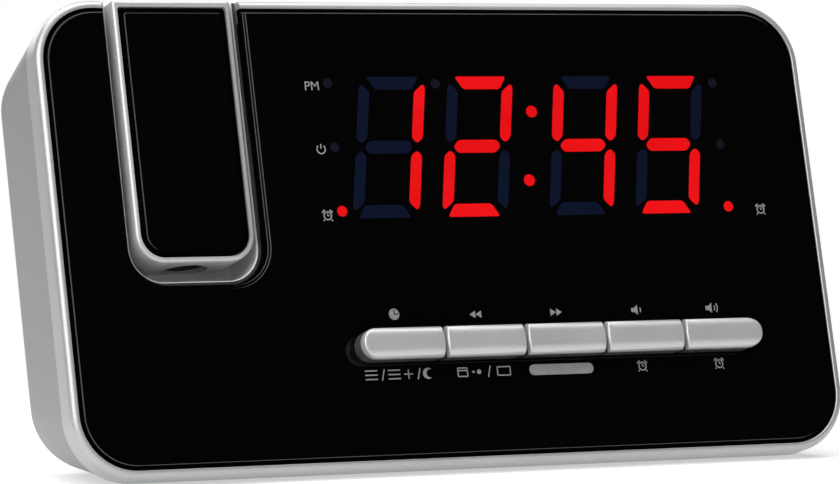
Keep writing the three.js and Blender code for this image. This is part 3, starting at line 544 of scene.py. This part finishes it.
for x, z in POSTS:
    join(cabinet, rod("y", BOSS, (x, BOSS_FRONT, z), INNER_BACK - BOSS_FRONT + 0.5))
    cut(cabinet, rod("y", HEAD_BORE, (x, HEAD_SEAT, z), 20), rod("y", SHAFT_BORE, (x, 10, z), 20))
for name in ("front_left", "front_right", "back_left", "back_right"):
    low, high = (Vector(corner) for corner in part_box("foot_" + name))
    middle = (low + high) / 2
    bm = bmesh.new()
    bmesh.ops.create_cone(bm, cap_ends=True, segments=48, radius1=FOOT_BORE, radius2=FOOT_BORE,
                          depth=FOOT_BORE_DEPTH)
    recess = link(bm)
    recess.data.transform(Matrix.Translation((middle.x * 1000, middle.y * 1000, 0.0)))
    recess.data.transform(FACE.inverted() @ Matrix.Scale(0.001, 4))
    cut(cabinet, recess)
piece(cabinet, "cabinet", CASE, "root", "grey_case", "rear_cabinet")

# ---- arm tray ----
TRAY_FRONT = 2.1  # its lip sits just behind the panel
tray = plate(arm_outline(TRAY_HALF + TRAY_WALL, TRAY_BOTTOM - TRAY_WALL, TRAY_CORNER + TRAY_WALL),
             TRAY_FRONT, TRAY_DEPTH + TRAY_WALL)
SCOOP = 11.5
scoop = [(-1, CASE_Z + 11), (-1, TRAY_BOTTOM), (TRAY_DEPTH - SCOOP, TRAY_BOTTOM)] + [
    (TRAY_DEPTH - SCOOP + SCOOP * math.sin(a), TRAY_BOTTOM + SCOOP - SCOOP * math.cos(a))
    for a in (math.pi / 2 * i / 20 for i in range(1, 21))] + [(TRAY_DEPTH, CASE_Z + 11)]
trough = keep(plate(arm_outline(TRAY_HALF, TRAY_BOTTOM, TRAY_CORNER, CASE_Z + 12), -1, TRAY_DEPTH),
              side_profile(scoop, ARM_X - 20, ARM_X + 20))
mouth = skin([at_depth(arm_outline(TRAY_HALF + g, TRAY_BOTTOM - g, TRAY_CORNER + g), y)
              for y, g in ((TRAY_FRONT - 1, 1.25), (TRAY_FRONT + 0.25, 0.0))])
cut(tray, trough, mouth)
envelope = skin([*([(x, d, z) for x, _, z in case_ring(0, i)] for d, i in quarter(RIM_ROUND)),
                 case_ring(BEZEL_DEPTH), case_ring(30)])
keep(tray, envelope)
cut(tray, pin_hole())
# the tray's front lip, seen in the gap round the opening, gets the painted shade
piece(tray, "tray", TRAY_SILVER_LIGHTENED, "root", "silver_tray", "arm_tray",
      second=(SIDE_SHADE, lambda face: face.normal.y < -0.98 and face.center.y < TRAY_FRONT + 0.1))

# ---- projector arm ----
ARM_EDGE, ARM_BACK_EDGE = 0.8, 2.6
INSERT_RIM, INSERT_TOP, INSERT_THICK = 1.2, 1.6, 1.3
OPTICS_DEPTH, LENS_WINDOW = 8, 4.8
RING_WINDOW = (2.5, 7.5)  # heights between which the focus ring shows
RING_WINDOW_HALF = 5.6
THUMB_RADIUS, THUMB_DEPTH, THUMB_WIDTH = 9, 1.4, 14


def arm_ring(y, inset, low=ARM_CORNER, high=0.5):
    outline = rounded(ARM_X - ARM_HALF + inset, ARM_X + ARM_HALF - inset, ARM_BOTTOM + inset,
                      CASE_Z - inset, max(0.3, low - inset), max(0.3, high - inset))
    return at_depth(outline, y)


def arm_solid():
    body = skin([*(arm_ring(d, i) for d, i in quarter(ARM_EDGE, 6)),
                 *(arm_ring(ARM_DEPTH - d, i) for d, i in reversed(list(quarter(ARM_BACK_EDGE, 8))))])
    r = ARM_TOP_ROUND
    turns = [math.pi / 2 * i / 16 for i in range(17)]
    back = [(-1, ARM_BOTTOM - 1), (ARM_DEPTH + 1, ARM_BOTTOM - 1), (ARM_DEPTH + 1, CASE_Z - r)] + [
        (ARM_DEPTH - r + r * math.cos(a), CASE_Z - r + r * math.sin(a)) for a in turns] + [
        (ARM_DEPTH - r, CASE_Z + 1), (-1, CASE_Z + 1)]
    return keep(body, side_profile(back, ARM_X - 20, ARM_X + 20))


def insert_outline(grow):
    return rounded(ARM_X - ARM_HALF + INSERT_RIM - grow, ARM_X + ARM_HALF - INSERT_RIM + grow,
                   ARM_BOTTOM + INSERT_RIM - grow, CASE_Z - INSERT_TOP + grow, 4.8 + grow, 0.6)


def arm_inner(y0, y1):
    return plate(arm_outline(ARM_HALF - ARM_WALL, ARM_BOTTOM + ARM_WALL, ARM_CORNER - ARM_WALL, 37.8),
                 y0, y1)


def optics_hole():
    return slab(disc(ARM_X, OPTICS_DEPTH, LENS_WINDOW, 48), ARM_BOTTOM - 1, ARM_BOTTOM + 2.6)


def ring_window(y0, y1):
    return box(ARM_X - RING_WINDOW_HALF, ARM_X + RING_WINDOW_HALF, y0, y1, *RING_WINDOW)


arm_frame = keep(arm_solid(), box(-200, 200, -1, ARM_SPLIT - GAP / 2, -200, 200))
cut(arm_frame, plate(insert_outline(GAP / 2), -1, INSERT_THICK + GAP), arm_inner(2.9, 10), optics_hole(),
    pin_hole(), ring_window(1.1, 3.4))
piece(arm_frame, "arm_shell", ARM_SILVER_LIGHTENED, "arm", "silver_shell", "arm_frame")
cover = keep(arm_solid(), box(-200, 200, ARM_SPLIT + GAP / 2, 20, -200, 200))
cut(cover, arm_inner(8, ARM_DEPTH - ARM_WALL), optics_hole(), ring_window(8, 15),
    rod("x", THUMB_RADIUS, (ARM_X - THUMB_WIDTH / 2, ARM_DEPTH + (THUMB_RADIUS - THUMB_DEPTH),
                            sum(RING_WINDOW) / 2), THUMB_WIDTH, sides=72))
piece(cover, "arm_cover", ARM_SILVER_LIGHTENED, "arm", "silver_shell", "arm_back_cover")
INSERT_BEVEL = 1.0
insert = skin([at_depth(insert_outline(-GAP / 2 - inset), y)
               for y, inset in ((0.02, INSERT_BEVEL), (0.4, 0.0), (INSERT_THICK, 0.0))])
piece(insert, "arm_black_insert", GLOSS, "arm", "black_gloss", "arm_insert", angle=12,
      second=(DULL, off_front))
# a painted highlight line along the insert's bevel edge, on two sides only
insert_highlight = highlight_crescent(insert_outline(-GAP / 2 - INSERT_BEVEL), 0.24, -0.1, -0.01, 0.04)
piece(insert_highlight, "insert_painted_highlight", EDGE, "arm", "black_gloss")

# ---- front buttons ----
BUTTONS = ("clock", "back", "forward", "volume_down", "volume_up")
BUTTON_PROUD, BUTTON_CROWN, BUTTON_EDGE = 4.0, 1.0, 0.5
BUTTON_PART = 0.25  # half the gap between two buttons
BUTTON_REAR, BUTTON_SIDE, BUTTON_LIP = 3.4, -2.9, 1.3
INSETS = (0, 0.02, 0.06, 0.12, 0.2, 0.3, 0.45, 0.6, 1.0, 1.5, 2.0, 2.5, 2.9, 3.15)  # closer at the edge


def make_button(i):
    """A crowned button as nested rings that follow its outline; the two end ones have a round end."""
    left = ROW_X - ROW_HALF + i * PITCH
    first, last = i == 0, i == len(BUTTONS) - 1
    x0, x1 = left + (0 if first else BUTTON_PART), left + PITCH - (0 if last else BUTTON_PART)
    half = BUTTON_HALF

    def outline(inset):
        points = []
        for end, turn, is_round in ((x1, -1, last), (x0, 1, first)):
            inward = math.copysign(1, x0 + x1 - 2 * end)
            radius = half - inset if is_round else max(0.06, 0.4 - inset)
            reach = half - inset - radius  # the straight part of the end, from its middle
            arcs = [(turn + k / 14) * math.pi / 2 for k in range(29)]
            for k, a in enumerate(arcs):
                z = radius * math.sin(a)
                points.append((end + inward * (inset + radius) + radius * math.cos(a),
                               ROW_Z + z + (reach * (k / 14 - 1) * -inward if not is_round else 0)))
        return points

    def front(inset):
        drop = BUTTON_EDGE - math.sqrt(max(0.0, BUTTON_EDGE ** 2 - max(0.0, BUTTON_EDGE - inset) ** 2))
        return [(x, drop - BUTTON_PROUD - BUTTON_CROWN * (1 - ((z - ROW_Z) / half) ** 4), z)
                for x, z in outline(inset)]

    sides = [at_depth(outline(0), BUTTON_REAR), at_depth(outline(0), BUTTON_SIDE)]
    body = skin(sides + [front(inset) for inset in INSETS])
    flange = box(x0 - (BUTTON_LIP if first else 0), x1 + (BUTTON_LIP if last else 0), PANEL_THICK + GAP,
                 BUTTON_REAR + 0.1, ROW_Z - half - BUTTON_LIP, ROW_Z + half + BUTTON_LIP)
    return join(body, flange)


# each button's sides, behind its crowned face, get the painted shade
for i, name in enumerate(BUTTONS):
    piece(make_button(i), "key_" + name, BUTTON, "button_" + name, "silver_button", "button_" + name,
          angle=60, second=(SIDE_SHADE, lambda face: face.center.y > BUTTON_SIDE - 0.05))

# ---- top buttons ----
CAP_PROUD = 0.8


def cap_level(y):
    """The height of a cap's top at a depth: it follows the sloping top of the cabinet."""
    return CASE_Z - STEP - (y - BEZEL_DEPTH) * TOP_TAPER + CAP_PROUD


def cap(x, half):
    y0, y1 = 10, 34
    under_level = side_profile([(y0, 0), (y1, 0), (y1, cap_level(y1)), (y0, cap_level(y0))],
                               x - half - 2, x + half + 2)
    return keep(slab(cap_outline(x, half, 0), 40, 54), under_level)


for x, half, name in TOP_CAPS:
    piece(cap(x, half), name + "_cap", SILVER, name, "silver_button", name, bevel=0.5, segments=4)

# ---- battery door ----
door = plate(rounded(*DOOR, 1.2), CABINET_DEPTH - DOOR_THICK, CABINET_DEPTH)
NOTCH_RADIUS, NOTCH_X, NOTCH_LENGTH = 2.2, -14, 12  # the hollow for a fingernail
cut(door, rod("x", NOTCH_RADIUS, (NOTCH_X, CABINET_DEPTH + 1.2, DOOR[3] - 3), NOTCH_LENGTH))
piece(door, "battery_lid", CASE, "battery_door", "grey_case", "battery_door", bevel=0.2)


# ---- display: lit segments, dots and printed marks, drawn on the panel's face ----
def drawn(outlines, name, look, slot_name):
    """Thin flat shapes on the panel's face, as one piece."""
    bm = bmesh.new()
    for outline in outlines:
        front, behind = ([bm.verts.new((x, y, z)) for x, z in outline] for y in (FRONT, BEHIND))
        n = len(outline)
        for i in range(n):
            bm.faces.new((front[i], front[(i + 1) % n], behind[(i + 1) % n], behind[i]))
        bm.faces.new(front)
        bm.faces.new(behind)
    obj = link(bm)
    return piece(obj, name, look, "root", slot_name)


def bar(x0, z0, x1, z1, width):
    along = Vector((x1 - x0, z1 - z0)).normalized() * width / 2
    side = Vector((-along.y, along.x))
    return [(x0 - side.x, z0 - side.y), (x1 - side.x, z1 - side.y),
            (x1 + side.x, z1 + side.y), (x0 + side.x, z0 + side.y)]


def arc(x, z, radius, width, start=0, end=360, steps=20):
    """Short wedges that make a ring, or a part of one."""
    shapes = []
    inner, outer = radius - width / 2, radius + width / 2

    def at(r, a):
        return x + r * math.cos(math.radians(a)), z + r * math.sin(math.radians(a))

    for i in range(steps):
        a, b = start + (end - start) * i / steps, start + (end - start) * (i + 1) / steps
        shapes.append([at(inner, a), at(outer, a), at(outer, b), at(inner, b)])
    return shapes


DIGIT_Z, SLANT, THICK = 18.12, 0.171, 1.4  # THICK is half a segment's width
DIGITS = ((1, -12.6), (2, 8.1), (4, 33.4), (5, 54.2))  # each digit and its middle
SEGMENTS = {1: "bc", 2: "abged", 4: "fgbc", 5: "afgcd"}
COLON = ((22.0, 25.6, 1.3), (19.5, 10.6, 1.3))
ALARM_DOTS = ((-25.0, 4.5, 1.15), (67.0, 4.2, 1.15))
DARK_DOTS = ((-25, 18.2), (-25, 32), (0, 31.8), (67, 18), (67, 31.8))
DARK_DOT_RADIUS = 1.05


def fillet(points, radius, steps=4):
    """The outline with each corner rounded."""
    out = []
    n = len(points)
    for i in range(n):
        before, corner, after = (Vector(points[(i + k) % n]) for k in (-1, 0, 1))
        a = corner + (before - corner).normalized() * min(radius, (before - corner).length * 0.45)
        b = corner + (after - corner).normalized() * min(radius, (after - corner).length * 0.45)
        for k in range(steps + 1):
            t = k / steps
            out.append(tuple((1 - t) ** 2 * a + 2 * t * (1 - t) * corner + t ** 2 * b))
    return out


def segment(letter, centre):
    """One segment of a slanted digit, as an outline with soft mitred ends."""
    t = THICK
    if letter in "ad":
        out = 1 if letter == "a" else -1
        z = 13.83 * out
        shape = [(-6.1, z + out * t), (6.1, z + out * t),
                 (6.1 - 1.76 + out * 0.5, z - out * t), (-6.1 + 1.76 + out * 0.5, z - out * t)]
    elif letter == "g":
        shape = [(-5.6, 0), (-4.5, t), (4.5, t), (5.6, 0), (4.5, -t), (-4.5, -t)]
    else:
        side, up = (1 if letter in "bc" else -1), (1 if letter in "bf" else -1)
        inner, middle, outer = (0.13 + side * (6.45 + k * 1.28) for k in (-1, 0, 1))
        shape = [(inner, up * 1.9), (middle, up * 0.75), (outer, up * 1.9), (outer, up * 12.9),
                 (middle + side * 0.7, up * 13.65), (inner, up * 11.9)]
    return fillet([(centre + x + z * SLANT, DIGIT_Z + z) for x, z in shape], 0.75)


lit = [segment(letter, centre) for digit, centre in DIGITS for letter in SEGMENTS[digit]]
lit += [disc(*dot) for dot in COLON + ALARM_DOTS]
drawn(lit, "lit_digits", LIT, "led_red")
unlit = [segment(letter, centre) for digit, centre in DIGITS
         for letter in "abcdefg" if letter not in SEGMENTS[digit]]
drawn([disc(x, z, DARK_DOT_RADIUS) for x, z in DARK_DOTS], "unlit_dots", DOTS, "display_black")
drawn(unlit, "unlit_segments", UNLIT, "display_black")


def alarm(x, z, size=0.95):
    """A small alarm clock: a round face with hands, two bells and two feet."""
    s = size
    return (arc(x, z, 0.9 * s, 0.28 * s)
            + [bar(x, z, x, z + 0.6 * s, 0.22 * s), bar(x, z, x + 0.45 * s, z, 0.22 * s),
               bar(x - 1.25 * s, z + 0.7 * s, x - 0.6 * s, z + 1.3 * s, 0.35 * s),
               bar(x + 1.25 * s, z + 0.7 * s, x + 0.6 * s, z + 1.3 * s, 0.35 * s),
               bar(x - 0.85 * s, z - 0.85 * s, x - 1.1 * s, z - 1.2 * s, 0.25 * s),
               bar(x + 0.85 * s, z - 0.85 * s, x + 1.1 * s, z - 1.2 * s, 0.25 * s)])


def triangle(x, z, half, length):
    return [(x, z - half), (x, z + half), (x + length, z)]


def loudspeaker(x, z, waves):
    """A horn and the arcs of sound in front of it."""
    shapes = [[(x - 1.9, z - 0.45), (x - 1.9, z + 0.45), (x - 1.2, z + 0.45), (x - 0.4, z + 1.1),
               (x - 0.4, z - 1.1), (x - 1.2, z - 0.45)]]
    for k in range(waves):
        shapes += arc(x - 0.4, z, 0.75 + 0.65 * k, 0.25, -42, 42, steps=8)
    return shapes


LABEL_UP, LABEL_DOWN = -18.1, -30.3
STROKE = 0.26


def slash(x, z):
    return bar(x - 0.35, z - 1.2, x + 0.35, z + 1.2, STROKE)


def lines(x, z):
    return [bar(x - 1.4, z + k, x + 1.4, z + k, STROKE) for k in (-0.9, 0.0, 0.9)]


def turn_points(x, z, radius, start, sweep, steps):
    angles = [math.radians(start + sweep * k / steps) for k in range(steps + 1)]
    return [(x + radius * math.cos(a), z + radius * math.sin(a)) for a in angles]


def moon(x, z):
    """A crescent, as slices between an outer and an inner curve."""
    outer_steps, inner_steps = 16, 12
    outer = turn_points(x, z, 1.2, 50, 260, outer_steps)
    inner = turn_points(x + 0.55, z, 0.92, 282, -204, inner_steps)

    def across(k):
        return inner[inner_steps - round(k * inner_steps / outer_steps)]

    return [[outer[k], outer[k + 1], across(k + 1), across(k)] for k in range(outer_steps)]


def loop(x, z, half_x, half_z=0.9):
    """A rectangle drawn as four strokes."""
    left, right, low, high = x - half_x, x + half_x, z - half_z, z + half_z
    return [bar(left, high, right, high, STROKE), bar(left, low, right, low, STROKE),
            bar(left, low, left, high, STROKE), bar(right, low, right, high, STROKE)]


def plus(x, z):
    return [bar(x - 1.0, z, x + 1.0, z, STROKE), bar(x, z - 1.0, x, z + 1.0, STROKE)]


def calendar(x, z):
    return loop(x, z, 1.1) + [bar(x - 1.1, z + 0.35, x + 1.1, z + 0.35, STROKE)]


def pie(x, z, start, end):
    return [(x, z)] + [(x + 0.95 * math.cos(math.radians(a)), z + 0.95 * math.sin(math.radians(a)))
                       for a in range(start, end + 1, 10)]


def clock(x, z):
    """A ring round a filled face with one quarter set apart."""
    return arc(x, z, 1.08, 0.27) + [pie(x - 0.1, z - 0.1, 90, 360), pie(x + 0.16, z + 0.16, 0, 90)]


def arrows(x, z, length):
    """Two triangles that point along length."""
    return [triangle(x + shift, z, 0.8, length) for shift in (0.0, 1.4)]


def standby(x, z):
    return arc(x, z, 0.95, STROKE, -230, 50) + [bar(x, z + 0.1, x, z + 1.15, STROKE)]


marks = clock(-15.85, LABEL_UP + 0.5)
marks += arrows(2.9, LABEL_UP, -1.35) + arrows(20.6, LABEL_UP, 1.35)
marks += loudspeaker(41.9, LABEL_UP, 1) + loudspeaker(60.0, LABEL_UP, 2)
marks += standby(-28.2, 17.8)
marks += alarm(-28.4, 3.6) + alarm(74.9, 3.4)
marks += alarm(41.0, LABEL_DOWN) + alarm(59.7, LABEL_DOWN)
marks += [rounded(14.0, 29.2, LABEL_DOWN - 1.15, LABEL_DOWN + 1.15, 1.1, steps=6)]
marks += lines(-22.6, LABEL_DOWN) + [slash(-19.9, LABEL_DOWN)] + lines(-17.4, LABEL_DOWN)
marks += plus(-14.1, LABEL_DOWN) + [slash(-11.7, LABEL_DOWN)]
marks += moon(-9.6, LABEL_DOWN)
marks += calendar(-1.6, LABEL_DOWN) + [slash(4.6, LABEL_DOWN)] + loop(8.0, LABEL_DOWN, 1.5)
marks += [disc(2.2, LABEL_DOWN, 0.5), disc(0.9, LABEL_DOWN, 0.28)]
drawn(marks, "printed_marks", PRINT, "silver_button")


def afternoon_mark(x, z, size):
    """The two letters beside the dot that is lit in the afternoon."""
    letters = bpy.data.curves.new("afternoon", "FONT")
    letters.body = "PM"
    letters.size = size
    letters.align_x = letters.align_y = "CENTER"
    letters.extrude = 0.02
    text = bpy.data.objects.new("afternoon", letters)
    bpy.context.scene.collection.objects.link(text)
    mesh = bpy.data.meshes.new_from_object(text.evaluated_get(bpy.context.evaluated_depsgraph_get()))
    bpy.data.objects.remove(text)
    mesh.transform(Matrix.Translation((x, -0.01, z)) @ Matrix.Rotation(math.pi / 2, 4, "X"))
    made = bpy.data.objects.new("afternoon_mark", mesh)
    bpy.context.scene.collection.objects.link(made)
    piece(made, "afternoon_mark", PRINT, "root", "silver_button")


afternoon_mark(-28.7, 31.3, 2.75)

# ---- the CAD nodes that still show: rounded edges and finished surfaces ----
NODE_SHARP = 35  # degrees


def soften():
    """A modifier group that welds a node's faces and shades it smooth, apart from its sharp edges."""
    group = bpy.data.node_groups.new("welded_smooth", "GeometryNodeTree")
    group.interface.new_socket("Geometry", in_out="INPUT", socket_type="NodeSocketGeometry")
    group.interface.new_socket("Geometry", in_out="OUTPUT", socket_type="NodeSocketGeometry")
    start, end = group.nodes.new("NodeGroupInput"), group.nodes.new("NodeGroupOutput")
    weld = group.nodes.new("GeometryNodeMergeByDistance")
    weld.inputs["Distance"].default_value = 1e-6
    faces = group.nodes.new("GeometryNodeSetShadeSmooth")
    edges = group.nodes.new("GeometryNodeSetShadeSmooth")
    edges.domain = "EDGE"
    angle = group.nodes.new("GeometryNodeInputMeshEdgeAngle")
    sharp = group.nodes.new("FunctionNodeCompare")
    sharp.data_type, sharp.operation = "FLOAT", "GREATER_THAN"
    sharp.inputs[1].default_value = math.radians(NODE_SHARP)
    edges.inputs["Shade Smooth"].default_value = False
    group.links.new(start.outputs[0], weld.inputs["Geometry"])
    group.links.new(weld.outputs["Geometry"], faces.inputs["Geometry"])
    group.links.new(faces.outputs["Geometry"], edges.inputs["Geometry"])
    group.links.new(angle.outputs["Unsigned Angle"], sharp.inputs[0])
    group.links.new(sharp.outputs["Result"], edges.inputs["Selection"])
    group.links.new(edges.outputs["Geometry"], end.inputs[0])
    return group


WELD = soften()
LOOKS = {  # how a node's name starts: its material and the width of its rounded edges in mm
    "arm_axle": (STEEL, 0.1),
    "hinge_bush": (NYLON, 0.1),
    "lens_cell": (BLACK, 0.1),
    "projector_lens": (LENS, 0),
    "focus_ring": (BLACK, 0.08),
    "projector_slide": (SLIDE, 0.1),
    "projector_led": (LED, 0),
    "projector_board": (CIRCUIT, 0.1),
    "display_module": (DISPLAY, 0.3),
    "button_board": (CIRCUIT, 0.1),
    "main_board": (CIRCUIT, 0.1),
    "speaker_frame": (STEEL, 0.2),
    "speaker_cone": (PAPER, 0),
    "battery_upper": (sleeve("battery_upper", True), 0.25),
    "battery_lower": (sleeve("battery_lower", False), 0.25),
    "battery_contact": (STEEL, 0.1),
    "dc_jack": (BLACK, 0.2),
    "aerial_bush": (BLACK, 0.15),
    "screw": (STEEL, 0.12),
    "foot": (RUBBER, 0.3),
}
for name, obj in nodes.items():
    found = next((LOOKS[key] for key in LOOKS if name.startswith(key)), None)
    if not found:
        continue
    look, width = found
    obj.data.materials.clear()
    obj.data.materials.append(look)
    modifier = obj.modifiers.new("weld", "NODES")
    modifier.node_group = WELD
    if width:
        round_edges(obj, width, 2, NODE_SHARP)

# ---- floor, light and camera ----
scene = bpy.context.scene
FADE_START, FADE_END = 0.09, 0.26  # metres from the middle, over which the floor turns white


def floor_material():
    """A pale floor that takes a soft shadow near the object and is plain white away from it."""
    made = material("pale_floor", (0.55, 0.55, 0.55), 0.9, vary=0.01, vary_scale=3, grain=40, specular=0.0)
    tree = made.node_tree
    place = node(tree, "ShaderNodeTexCoord")
    away = node(tree, "ShaderNodeVectorMath", operation="LENGTH")
    tree.links.new(place.outputs["Object"], away.inputs[0])
    fade = node(tree, "ShaderNodeMapRange", interpolation_type="SMOOTHSTEP")
    for socket, value in (("From Min", FADE_START), ("From Max", FADE_END), ("To Min", 0.0), ("To Max", 1.0)):
        fade.inputs[socket].default_value = value
    tree.links.new(away.outputs["Value"], fade.inputs["Value"])
    white = node(tree, "ShaderNodeEmission")
    blend = node(tree, "ShaderNodeMixShader")
    shader, end = tree.nodes["Principled BSDF"], tree.nodes["Material Output"]
    shader.inputs["Emission Color"].default_value = (1, 1, 1, 1)
    shader.inputs["Emission Strength"].default_value = 0.5
    tree.links.new(fade.outputs["Result"], blend.inputs[0])
    tree.links.new(shader.outputs[0], blend.inputs[1])
    tree.links.new(white.outputs[0], blend.inputs[2])
    tree.links.new(blend.outputs[0], end.inputs["Surface"])
    return made


bm = bmesh.new()
bmesh.ops.create_circle(bm, cap_ends=True, radius=6.0, segments=96)
floor = link(bm, "floor")
floor.data.materials.append(floor_material())


def studio_world():
    """White where the camera sees it, and nearly dark where it lights or is reflected."""
    world = bpy.data.worlds.new("studio")
    world.use_nodes = True
    tree = world.node_tree
    tree.nodes.clear()
    seen, unseen = (node(tree, "ShaderNodeBackground", Strength=strength) for strength in (1.0, 0.02))
    for background in (seen, unseen):
        background.inputs["Color"].default_value = (1, 1, 1, 1)
    path = node(tree, "ShaderNodeLightPath")
    mix = node(tree, "ShaderNodeMixShader")
    output = node(tree, "ShaderNodeOutputWorld")
    tree.links.new(path.outputs["Is Camera Ray"], mix.inputs[0])
    tree.links.new(unseen.outputs[0], mix.inputs[1])
    tree.links.new(seen.outputs[0], mix.inputs[2])
    tree.links.new(mix.outputs[0], output.inputs["Surface"])
    return world


scene.world = studio_world()


def area_light(name, location, target, size, power):
    data = bpy.data.lights.new(name, "AREA")
    data.energy, data.size = power, size
    obj = bpy.data.objects.new(name, data)
    obj.location = location
    obj.rotation_euler = (Vector(location) - Vector(target)).to_track_quat("Z", "Y").to_euler()
    scene.collection.objects.link(obj)


MIDDLE = (0.0, 0.0, 0.05)
area_light("key", (-1.1, -0.8, 0.8), MIDDLE, 1.1, 20)
area_light("overhead", (0.0, 0.15, 1.5), MIDDLE, 1.6, 32)
area_light("right", (1.3, 0.4, 0.7), MIDDLE, 0.7, 1.5)
area_light("back", (-0.3, 1.5, 0.8), MIDDLE, 1.0, 8)

AZIMUTH, ELEVATION, DISTANCE = math.radians(-25.92), math.radians(2.33), 0.9609
FOCAL, SENSOR = 197.14, 36
target = (ORIGIN + Vector((-7.63, 0, -2.30))) / 1000
back = Vector((math.sin(AZIMUTH) * math.cos(ELEVATION), -math.cos(AZIMUTH) * math.cos(ELEVATION),
               math.sin(ELEVATION)))
camera_data = bpy.data.cameras.new("camera")
camera_data.lens, camera_data.sensor_width = FOCAL, SENSOR
camera = bpy.data.objects.new("camera", camera_data)
camera.location = target + back * DISTANCE
camera.rotation_euler = back.to_track_quat("Z", "Y").to_euler()
scene.collection.objects.link(camera)
scene.camera = camera
scene.view_settings.view_transform = "Standard"
